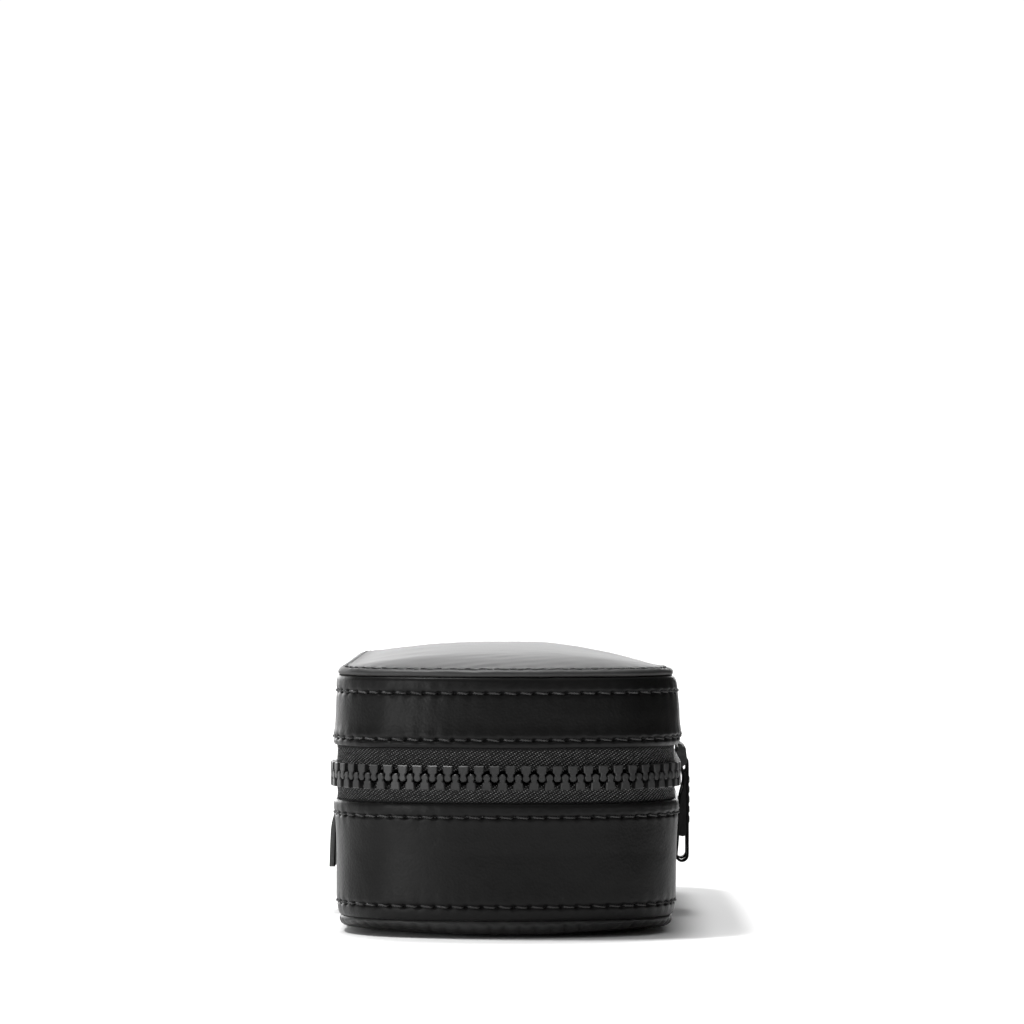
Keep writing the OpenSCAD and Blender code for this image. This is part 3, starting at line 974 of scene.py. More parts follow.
@dataclass
class TopCushion:
    """The lid's padded panel: a rolled rim, a seam inside it and the crown."""

    seam: Seam = Seam(0.0, pitch=3.72, length=3.0, slant=0.12, phase=0.3, seed=21)
    seam_in: float = -2.35
    groove_z: float = 64.0
    crown: float = 3.95
    cell: float = 1.7

    def height(self, x: Array, y: Array) -> Array:
        """Level of the crown before it settles.

        Args:
            x: Along the case.
            y: Across it.

        Returns:
            Levels in millimetres.
        """
        d = np.clip(PLAN.inside(x, y) + self.seam_in, 0, None)
        t = np.clip(1 - d / 36.5, 0, 1)
        edge = (1 - t**2.6) ** 0.8
        length = 1 - 0.74 * (np.abs(x + 6) / 100.0) ** 2.2
        return self.groove_z + 0.15 + self.crown * edge * np.clip(length, 0, 1)

    def rim(self) -> None:
        """Makes the rolled rim, pinched at each stitch, and its seam."""
        s = PLAN.stations(0.42)
        section = [
            (-0.95, 62.2), (-0.55, 62.4), (-0.4, 62.75), (-0.38, 63.1), (-0.5, 63.45), (-0.8, 63.74),
            (-1.3, 63.95), (-1.7, 64.04), (-2.05, 64.02), (-2.35, 63.98), (-2.6, 64.04), (-2.9, 64.2),
            (-3.4, 64.25), (-4.0, 63.7), (-3.6, 63.0), (-2.2, 62.6),
        ]
        off, z = (np.repeat(column[:, None], len(s), 1) for column in split(section))
        grid_s = np.repeat(s[None], len(section), 0)
        pull = self.seam.dip(grid_s, off - self.seam_in, 0.3)
        outside = smooth(off, -2.4, -0.9)
        z = z + pull * smooth(z, 63.5, 63.9)
        z = z + 0.09 * ripple(grid_s, off, 8.0, 31) * (z > 62.6) * outside
        off = off + (0.10 * ripple(grid_s, z, 7.0, 32) + 0.10 * ripple(grid_s, 0 * z, 30.0, 33)) * outside
        piece = Piece("lid_top_rim")
        uv = (np.append(s, 2 * PLAN.half), lengths(section))
        piece.grid(settle(ring(s, off, z)), around=True, uv=uv)
        install(piece.make(TOP_LEATHER), Body.LID, Slot.TOP)

        def surface(along: Array, across: Array) -> Array:
            """Points and normals on the groove."""
            x, y, nx, ny = PLAN.walk(along)
            o = self.seam_in + across
            z0 = self.groove_z + self.seam.dip(along, across, 0.3) + 0.12
            points = settle(np.stack([x + nx * o, y + ny * o, z0], -1))
            return np.stack([points, np.stack([0 * x, 0 * x, 1 + 0 * x], -1)])

        thread = Piece("lid_top_stitches")
        self.seam.sew(thread, surface)
        install(thread.make(THREAD), Body.LID, Slot.TOP)

    def sheet(self) -> Object:
        """Makes the flat cut of the crown, raised to its resting shape."""
        s = PLAN.stations(1.25)
        edge = ring(s, np.full(1, self.seam_in), np.zeros(1))[0]
        rows = np.arange(-42, 42, self.cell * 0.866)
        inner = []
        for i, y in enumerate(rows):
            xs = np.arange(-100, 100, self.cell) + (i % 2) * self.cell / 2
            keep = PLAN.inside(xs, np.full_like(xs, y)) > -self.seam_in + self.cell * 0.55
            inner += [Vector((x, y)) for x in xs[keep]]
        outline = [Vector((p[0], p[1])) for p in edge]
        loop = [(i, (i + 1) % len(outline)) for i in range(len(outline))]
        found = delaunay_2d_cdt(outline + inner, loop, [], 1, 1e-5)
        flat = np.array([(v[0], v[1]) for v in found[0]])
        z = self.height(flat[:, 0], flat[:, 1])
        piece = Piece("lid_top_cushion")
        piece.points(np.column_stack([flat, z]))
        for triangle in found[2]:
            piece.face(triangle)
        return piece.make(TOP_LEATHER)

    def inflate(self, obj: Object) -> None:
        """Runs a short cloth simulation, so the seam draws the leather in.

        Args:
            obj: The raised sheet; its points are moved.
        """
        rest = np.array([v.co for v in obj.data.vertices])
        depth = PLAN.inside(rest[:, 0] / MM, rest[:, 1] / MM) + self.seam_in
        group = obj.vertex_groups.new(name="pin")
        for i in np.nonzero(depth < 0.3)[0]:
            group.add([int(i)], 1.0, "REPLACE")
        cloth = obj.modifiers.new("cloth", "CLOTH")
        cloth.settings.quality = 6
        cloth.settings.mass = 0.25
        cloth.settings.tension_stiffness = 25
        cloth.settings.compression_stiffness = 12
        cloth.settings.bending_stiffness = 6.0
        cloth.settings.vertex_group_mass = "pin"
        cloth.settings.shrink_min = -0.004
        cloth.settings.use_pressure = True
        cloth.settings.uniform_pressure_force = 1.2
        cloth.settings.effector_weights.gravity = 0
        cloth.collision_settings.use_collision = False
        scene = bpy.context.scene
        scene.frame_start, scene.frame_end = 1, 20
        for frame in range(1, 21):
            scene.frame_set(frame)
        shaped = obj.evaluated_get(bpy.context.evaluated_depsgraph_get())
        moved = np.array([v.co for v in shaped.data.vertices])
        obj.modifiers.remove(cloth)
        scene.frame_set(1)
        move = moved - rest
        size = np.linalg.norm(move, axis=1)
        cap = 0.3 * MM
        move *= np.minimum(1, cap / np.maximum(size, 1e-9))[:, None]
        pairs = np.array([edge.vertices[:] for edge in obj.data.edges])
        near = np.bincount(pairs.ravel(), minlength=len(move))[:, None]
        for _ in range(SMOOTHING):
            total = np.zeros_like(move)
            np.add.at(total, pairs[:, 0], move[pairs[:, 1]])
            np.add.at(total, pairs[:, 1], move[pairs[:, 0]])
            move = 0.5 * move + 0.5 * total / near
        move[:, 2] -= np.median(move[depth > 15, 2])
        move[:, 2] *= smooth(depth, 0, 3)
        obj.data.vertices.foreach_set("co", (rest + move).astype(np.float32).ravel())
        obj.data.update()

    def build(self) -> None:
        """Makes the rim, the seam and the crown."""
        self.rim()
        crown = self.sheet()
        self.inflate(crown)
        subdivide(crown, 1)
        co = np.array([v.co for v in crown.data.vertices]) / MM
        depth = np.clip(PLAN.inside(co[:, 0], co[:, 1]) + self.seam_in, 0, None)
        angle = np.arctan2(co[:, 1], co[:, 0])
        near = np.exp(-depth / 1.6)
        along = angle / math.pi * PLAN.half
        folds = np.abs(np.sin(along * math.pi / self.seam.step)) - 0.6
        co[:, 2] += 0.34 * near * folds * smooth(depth, 0, 0.7)
        co[:, 2] += 0.05 * ripple(co[:, 0] * 1.3, co[:, 1] * 1.3, 9.0, 41, 11) * smooth(depth, 0, 4)
        crown.data.vertices.foreach_set("co", (settle(co) * MM).astype(np.float32).ravel())
        thicken(crown, 1.0)
        install(crown, Body.LID, Slot.TOP, "lid_top_cover", "lid_top_foam")


def applied(obj: Object) -> None:
    """Replaces an object's mesh by what its modifiers make of it."""
    mesh = bpy.data.meshes.new_from_object(obj.evaluated_get(bpy.context.evaluated_depsgraph_get()))
    obj.modifiers.clear()
    obj.data = mesh
    mesh.polygons.foreach_set("use_smooth", [True] * len(mesh.polygons))


def subdivide(obj: Object, times: int) -> None:
    """Subdivides a mesh smoothly."""
    bpy.context.view_layer.update()
    mod = obj.modifiers.new("subdivision", "SUBSURF")
    mod.levels = mod.render_levels = times
    applied(obj)


def thicken(obj: Object, thickness: float) -> None:
    """Gives a sheet its thickness, inwards."""
    bpy.context.view_layer.update()
    mod = obj.modifiers.new("thickness", "SOLIDIFY")
    mod.thickness, mod.offset = thickness * MM, -1
    applied(obj)


@dataclass
class Underside:
    """The padded underside panel, its edge scalloped by the sewing below."""

    seam: Seam = Seam(0.0, pitch=3.7, seed=51)

    def build(self) -> None:
        """Makes the panel."""
        s = PLAN.stations(0.5)
        section = [
            (-1.7, 4.29), (-1.2, 4.26), (-0.98, 4.14), (-0.86, 3.8), (-0.8, 3.3), (-0.84, 2.8), (-1.0, 2.35),
            (-1.3, 1.9), (-1.75, 1.55), (-2.5, 1.25), (-3.6, 1.0), (-5.5, 0.8), (-8.5, 0.55), (-12, 0.33),
            (-16, 0.15), (-20, 0.04), (-24, 0),
        ]
        grid_s = np.repeat(s[None], len(section), 0)
        off, z = (np.repeat(column[:, None], len(s), 1) for column in split(section))
        pinch = np.abs(np.sin(math.pi * grid_s / self.seam.step)) ** 0.55
        roll = smooth(z, 1.0, 1.5) * (1 - smooth(z, 2.6, 3.9)) * (off > -2.9)
        swell = (1 - pinch) * roll
        uneven = 0.7 + 0.5 * ripple(grid_s, 0 * z, 11.0, 53)
        off, z = off - 0.5 * swell * uneven, z + 0.75 * swell * uneven
        x, y, _, _ = PLAN.walk(s)
        corner = smooth(np.abs(x), 66, 92) * smooth(np.abs(y), 8, 34)
        z = z + 1.25 * corner[None] * np.exp(-((off / 9.0) ** 2)) * (1 - smooth(z, 1.6, 4.2))
        off = off + 0.10 * ripple(grid_s, z, 8.0, 52) * (z < 4.1)
        piece = Piece("underside_panel")
        points = ring(s, off, z)
        points[..., 2] = np.maximum(points[..., 2], 0.0)
        piece.grid(points)
        last = (len(section) - 1) * len(s)
        piece.face(last + np.arange(len(s)))
        piece.face(np.arange(len(s))[::-1])
        install(piece.make(UNDER_LEATHER), Body.BASE, Slot.BLACK, "bottom_panel", "bottom_foam")


# ---- Zip --------------------------------------------------------------------


@dataclass
class ZipTape:
    """One woven tape, its ribs slanting towards the chain."""

    name: str
    node: str
    body: Body
    hidden: float
    shown: float
    edge: float
    step: float = 0.2

    def build(self) -> None:
        """Makes the tape with its ribs and the knit bead at its edge."""
        start = Outline(off=TAPE_FACE).half - HINGE_HALF
        s = np.arange(-start, start, self.step)
        way = 1.0 if self.edge > self.hidden else -1.0
        length = abs(self.edge - self.shown)
        tuck = [-abs(self.shown - self.hidden), -0.8]
        depth = np.concatenate([tuck, np.arange(-0.4, length, 0.135), [length]])
        z = self.shown + way * depth
        plan = Outline(off=TAPE_FACE)
        grid_s, grid_d = np.meshgrid(s, depth)
        slant = (grid_s + way * grid_d * WEAVE_SLANT) / WEAVE_RIB
        rib = np.abs(np.sin(math.pi * slant)) ** 0.8
        knot = 0.5 + 0.5 * np.cos(2 * math.pi * (way * grid_d / WEAVE_STEP + np.floor(slant) * 0.5))
        weave = 0.36 * rib * knot - 0.14
        to_edge = length - grid_d
        beads = np.abs(np.sin(math.pi * grid_s / 0.55)) * np.exp(-(((to_edge - 1.45) / 0.22) ** 2)) * 0.12
        cord = 0.28 * np.exp(-(((to_edge - 0.7) / 0.55) ** 2))
        knit = np.sin(2 * math.pi * grid_s / 0.55) * np.sin(2 * math.pi * grid_d / 0.4) * 0.05
        cord_on = (to_edge < 1.4).astype(float)
        off = weave * (1 - 0.5 * cord_on) + beads + cord + knit * cord_on
        off = off * (grid_d > -0.5) - 0.12 * np.sin(math.pi * np.clip(grid_d / 3.2, 0, 1))
        back_depth = depth[[-1, len(depth) // 2, 0]]
        back = np.full((3, len(s)), -TAPE_THICK)
        all_off = np.concatenate([off, back])
        all_z = np.concatenate([z, self.shown + way * back_depth])
        piece = Piece(self.name)
        across = way * np.append(np.concatenate([depth, length - back_depth + length]), 0)
        uv = (np.append(s, s[-1] + self.step), across)
        piece.grid(ring(s, all_off, all_z, plan), around=True, along=False, uv=uv)
        install(piece.make(TAPE), self.body, Slot.TAPE, self.node)


@dataclass
class ZipTeeth:
    """One row of moulded teeth: a block with a neck and a round head."""

    name: str
    node: str
    body: Body
    up: bool
    shift: float
    pitch: float = 3.66
    chain: float = 5.8
    block: float = 2.42
    neck: float = 1.34
    head: float = 0.88
    reach: float = 0.95
    gap: float = 0.12
    face: float = 1.4
    bevel: float = 0.2

    def outline(self) -> Array:
        """The tooth from the front, pointing up, middle of the chain at 0."""
        foot = -self.chain / 2
        shoulder = -self.reach - self.gap
        b, n = self.block / 2, self.neck / 2
        centre = self.reach - self.head
        join = centre - math.sqrt(self.head**2 - n**2)
        right = [(b, foot), (b - 0.1, shoulder - 0.4), (b - 0.13, shoulder - 0.12), (b - 0.25, shoulder)]
        right += [(n + 0.16, shoulder + 0.06), (n + 0.02, shoulder + 0.2), (n, join)]
        start = math.asin(-math.sqrt(self.head**2 - n**2) / self.head)
        turn = np.linspace(start, math.pi - start, 15)[1:-1]
        cap = [(self.head * math.cos(a), centre + self.head * math.sin(a)) for a in turn]
        return np.array(right + cap + [(-x, z) for x, z in reversed(right)])

    def prototype(self) -> tuple[Array, list[list[int]]]:
        """Points and faces of one tooth at mid-front, facing -Y."""
        bm = bmesh.new()
        front = self.face + CHAIN_IN
        shape = self.outline()
        verts = [bm.verts.new((x, -(front - self.bevel), y)) for x, y in shape]
        cap = bm.faces.new(verts)
        bm.normal_update()
        if cap.normal.y > 0:
            cap.normal_flip()
        sides = bmesh.ops.extrude_face_region(bm, geom=[cap])
        moved = [g for g in sides["geom"] if isinstance(g, bmesh.types.BMVert)]
        bmesh.ops.translate(bm, verts=moved, vec=(0, front - self.bevel + 0.95, 0))
        bmesh.ops.recalc_face_normals(bm, faces=bm.faces)
        near = min((f for f in bm.faces if len(f.verts) > 4), key=lambda f: f.calc_center_median().y)
        bmesh.ops.inset_region(bm, faces=[near], thickness=self.bevel, depth=self.bevel, use_even_offset=True)
        points = np.array([v.co for v in bm.verts])
        bm.verts.index_update()
        faces = [[v.index for v in f.verts] for f in bm.faces]
        bm.free()
        return points, faces

    def build(self) -> None:
        """Makes the row along the chain's line."""
        plan = Outline(off=-CHAIN_IN)
        reach = plan.half - (HINGE_HALF + STOP_ROOM + self.block / 2)
        count = int(2 * reach / self.pitch)
        proto, faces = self.prototype()
        if not self.up:
            proto = proto * np.array([1, 1, -1])
        piece = Piece(self.name)
        rng = np.random.default_rng(7 if self.up else 8)
        for i in range(count):
            s = (i - (count - 1) / 2 + self.shift) * self.pitch
            x, y, nx, ny = (float(v[0]) for v in plan.walk(np.array([s])))
            out, across = np.array([nx, ny, 0]), np.array([-ny, nx, 0])
            sway = rng.uniform(-0.02, 0.02, 3)
            local = proto + np.array([sway[0], sway[1], 0])
            points = local[:, :1] * across + -local[:, 1:2] * out + local[:, 2:] * np.array([0, 0, 1])
            points += np.array([x, y, CHAIN_Z])
            start = piece.points(points)
            for face in faces:
                piece.face([start + k for k in face])
        install(piece.make(MOULDED, flat=True), self.body, Slot.MOULDING, self.node)


@dataclass
class HingeStrip:
    """The soft leather strip that joins the halves at the back."""

    def build(self) -> None:
        """Makes one strip that runs from the base to the lid, bulged along the chain's line."""
        x = np.arange(-HINGE_HALF, HINGE_HALF + 0.1, 0.8)
        z = np.linspace(BASE_TOP - TAPE_TUCK, LID_BOTTOM + TAPE_TUCK, 46)
        grid_x, grid_z = np.meshgrid(x, z)
        fold = np.exp(-(((grid_z - CHAIN_Z) / 2.6) ** 2))
        near = np.exp(-(((grid_z - CHAIN_Z) / 4) ** 2))
        crease = 0.16 * np.sin(grid_z * 1.9 + 0.7 * np.sin(grid_x / 17)) * near
        wave = 0.12 * ripple(grid_x * 2, grid_z * 2, 15.0, 61)
        free = smooth(6.8 - np.abs(grid_z - CHAIN_Z), 0, 3)
        face = -FRONT_Y + TAPE_FACE + 0.75 * fold + (crease + wave) * free
        front = np.stack([grid_x, face, grid_z], -1)
        back = np.stack([grid_x, face - 0.7, grid_z], -1)[::-1]
        piece = Piece("hinge_strip")
        piece.grid(np.concatenate([front, back]), around=True, along=False)
        made = piece.make(HINGE_LEATHER)
        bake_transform(made)
        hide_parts("hinge_strip_lower", "hinge_strip_upper")
        LOG.info("hinge_strip: bends between base and lid")


# ---- Straps -----------------------------------------------------------------


def strap(
    name: str, path: Array, width: float, thick: float, closed: bool, round_by: float = 0.12
) -> Piece:
    """A flat strap that follows a path in the YZ plane.

    Args:
        name: The piece's name.
        path: Points (y, z) of the strap's middle.
        width: Its width along X.
        thick: Its thickness.
        closed: Whether the path closes.
        round_by: Rounding of the edges.

    Returns:
        The piece, its cut edges marked 1.
    """
    p = np.asarray(path, float)
    if closed:
        tangent = np.roll(p, -1, 0) - np.roll(p, 1, 0)
    else:
        tangent = np.gradient(p, axis=0)
    tangent /= np.linalg.norm(tangent, axis=1)[:, None]
    normal = np.stack([tangent[:, 1], -tangent[:, 0]], 1)
    w, t, r = width / 2, thick / 2, round_by
    section = [
        (-w + r, t), (-w * 0.5, t), (0, t), (w * 0.5, t), (w - r, t), (w, t - r), (w, 0), (w, r - t),
        (w - r, -t), (w * 0.5, -t), (0, -t), (-w * 0.5, -t), (-w + r, -t), (-w, r - t), (-w, 0), (-w, t - r),
    ]
    rows = [np.column_stack([np.full(len(p), x), p + normal * n]) for x, n in section]
    piece = Piece(name)
    piece.grid(np.array(rows), around=True, along=closed)
    cols = len(p) if closed else len(p) - 1
    edge_rows = {5, 6, 13, 14}
    for row in edge_rows:
        for col in range(cols):
            piece.marks[row * cols + col] = 1
    return piece


def rounded(points: Sequence[tuple[float, float]], closed: bool, times: int = 3) -> Array:
    """Rounds a run of points by cutting its corners."""
    p = np.asarray(points, float)
    for _ in range(times):
        q = np.roll(p, -1, 0) if closed else p[1:]
        base = p if closed else p[:-1]
        cut = np.stack([base * 0.75 + q * 0.25, base * 0.25 + q * 0.75], 1).reshape(-1, 2)
        p = cut if closed else np.concatenate([p[:1], cut, p[-1:]])
    return p


@dataclass
class Puller:
    """A leather strap round the slider's bar, sewn below it, looped at its end."""

    body: Body
    node: str
    park: float
    bar_y: float = FRONT_Y - 3.6
    width: float = 5.4
    thick: float = 0.6

    def build(self) -> None:
        """Makes the strap and its stitches."""
        out, wide = -0.88, 1.9
        turn = np.linspace(math.pi, 2 * math.pi, 9)
        loop = [(0.55 + 1.43 * math.cos(a), -23.75 + 1.43 * math.sin(a)) for a in turn]
        path = [(0.0, 0.88), (-0.62, 0.62), (out, 0.0), (out, -5), (out, -12), (out, -19), (out, -22)] + loop
        path += [(1.72, -21), (wide - 0.32, -18.8), (0.75 * wide - 0.32, -10), (0.12, -6.4), (-0.1, -4.6)]
        path += [(0.35, -2.6), (0.88, -0.4), (0.66, 0.6)]
        line = rounded(path, True, 2) + np.array([self.bar_y, CHAIN_Z])
        core = Piece(f"{self.node}_core")
        shape = [(out, -2.2), (0.1, -3.0), (0.0, -5.0), (0.15, -6.5), (0.75 * wide - 0.3, -10)]
        shape += [(wide - 0.35, -18.7), (0.4, -18.95), (out, -18.6)]
        side = np.array([self.bar_y, CHAIN_Z]) + np.array(shape)
        half = self.width / 2 - 0.12
        rows = [np.column_stack([np.full(len(side), self.park + x), side]) for x in (-half, half)]
        core.grid(np.array(rows).transpose(1, 0, 2), around=True, along=False)
        install(core.make(DARK_EDGE, flat=True), self.body, Slot.BLACK)
        piece = strap(f"{self.node}_strap", line, self.width, self.thick, True)
        points = piece.verts[0]
        points[:, 0] += self.park
        # The cut edges are painted like the faces.
        install(piece.make(STRAP_LEATHER, STRAP_LEATHER), self.body, Slot.BLACK, self.node)
        thread = Piece(f"{self.node}_stitches")
        rng = np.random.default_rng(5)
        for x in (-self.width / 2 + 0.75, self.width / 2 - 0.75):
            for k in range(5):
                z0 = CHAIN_Z - 3.6 - k * 2.5
                self.tack(thread, self.park + x + rng.uniform(-0.05, 0.05), z0, out)
        install(thread.make(THREAD), self.body, Slot.BLACK)

    def tack(self, piece: Piece, x: float, z: float, out: float) -> None:
        """Adds one stitch on the strap's outer face."""
        t = np.linspace(0, 1, 9)
        angle = np.arange(6) * math.pi / 3
        y = self.bar_y + out - self.thick / 2 - 0.06 + 0.22 * np.abs(2 * t - 1) ** 5
        core = np.column_stack([np.full(9, x), y, z - 2.0 * t])
        round_ = np.stack([np.cos(angle), np.sin(angle), 0 * angle], 1) * 0.17
        piece.grid(core[None] + round_[:, None], around=True, along=False)


@dataclass
class BackTab:
    """The leather tab on the back, sewn to the base's lip, its edges raw."""

    width: float = 16.0
    thick: float = 1.35
    seam_y: float = 42.35

    def build(self) -> None:
        """Makes the tab and its cross stitch."""
        path = [(self.seam_y, 31.7), (self.seam_y, 30.2), (42.45, 28.6), (43.25, 25.5), (44.05, 22.9)]
        path += [(44.4, 20), (44.65, 11.6)]
        line = rounded(path, False, 3)
        piece = strap("back_tab_strap", line, self.width, self.thick, False, 0.2)
        install(piece.make(STRAP_LEATHER, CUT_EDGE), Body.BASE, Slot.BLACK, "back_tab")
        thread = Piece("back_tab_stitches")
        t = np.linspace(0, 1, 9)
        angle = np.arange(6) * math.pi / 3
        for k in range(5):
            x = -6.2 + k * 2.6 + 2.0 * t
            y = self.seam_y + self.thick / 2 + 0.06 - 0.22 * np.abs(2 * t - 1) ** 5
            core = np.column_stack([x, y, np.full(9, 30.3)])
            round_ = np.stack([0 * angle, np.cos(angle), np.sin(angle)], 1) * 0.2
            thread.grid(core[None] + round_[:, None], around=True, along=False)
        install(thread.make(THREAD), Body.BASE, Slot.BLACK)


# ---- Inside -----------------------------------------------------------------


def tray(
    name: str,
    section: Sequence[tuple[float, float]],
    finish: Finish,
    fix: Callable[[Array], Array] | None = None,
) -> Object:
    """A tray whose section runs round the plan and closes over its middle.

    Args:
        name: The piece's name.
        section: Points (off, z), from the middle's outer side round the wall
            to the middle's inner side.
        finish: Its finish.
        fix: A last change of its points.

    Returns:
        The object.
    """
    s = PLAN.stations(1.2)
    off, z = split(section)
    grid_s = np.repeat(s[None], len(off), 0)
    off2 = off[:, None] + 0.06 * ripple(grid_s, z[:, None] + 0 * grid_s, 14.0, 71)
    points = ring(s, off2, z)
    if fix:
        points = fix(points)
    piece = Piece(name)
    piece.grid(points)
    piece.face(np.arange(len(s))[::-1])
    piece.face((len(off) - 1) * len(s) + np.arange(len(s)))
    return piece.make(finish)


@dataclass
class Lining:
    """The suede that lines the base and the lid, rolled over their rims."""

    def build(self) -> None:
        """Makes both linings."""
        low = [
            (-12, 6.12), (-2.5, 6.12), (-2.44, 7), (-2.44, 31.65), (-1.1, 31.75), (-1.05, 32.0), (-1.3, 32.2),
            (-2.9, 32.22), (-3.2, 31.9), (-3.25, 30), (-3.28, 20), (-3.25, 9.5), (-3.6, 7.7), (-4.8, 6.95),
            (-12, 6.9),
        ]
        high = [
            (-12, 60.28), (-2.5, 60.28), (-2.44, 59), (-2.44, 45.85), (-1.1, 45.75), (-1.05, 45.5),
            (-1.3, 45.3), (-2.9, 45.28), (-3.2, 45.6), (-3.25, 47), (-3.28, 52), (-3.25, 57), (-3.6, 58.8),
            (-4.8, 59.45), (-12, 59.5),
        ]
        install(tray("base_lining_suede", low, LINING), Body.BASE, Slot.LINING, "base_lining")
        install(tray("lid_lining_suede", high, LINING, settle), Body.LID, Slot.LINING, "lid_lining")


@dataclass
class Boards:
    """The lid's boards, which settle with it."""

    def build(self) -> None:
        """Makes the lid's wall board and top board."""
        s = PLAN.stations(2.0)
        wall = [(-1.0, 45.8), (-1.0, 53), (-1.0, 60.3), (-2.4, 60.3), (-2.4, 53), (-2.4, 45.8)]
        piece = Piece("lid_wall_greyboard")
        piece.grid(settle(ring(s, *split(wall))), around=True)
        install(piece.make(BOARD, flat=True), Body.LID, Slot.BOARD, "lid_wall_board")
        top = [(-14, 60.3), (-1.0, 60.3), (-1.0, 62.08), (-14, 62.08)]
        piece = Piece("lid_top_greyboard")
        piece.grid(settle(ring(s, *split(top))))
        piece.face(np.arange(len(s))[::-1])
        piece.face(3 * len(s) + np.arange(len(s)))
        install(piece.make(BOARD, flat=True), Body.LID, Slot.BOARD, "lid_top_board")


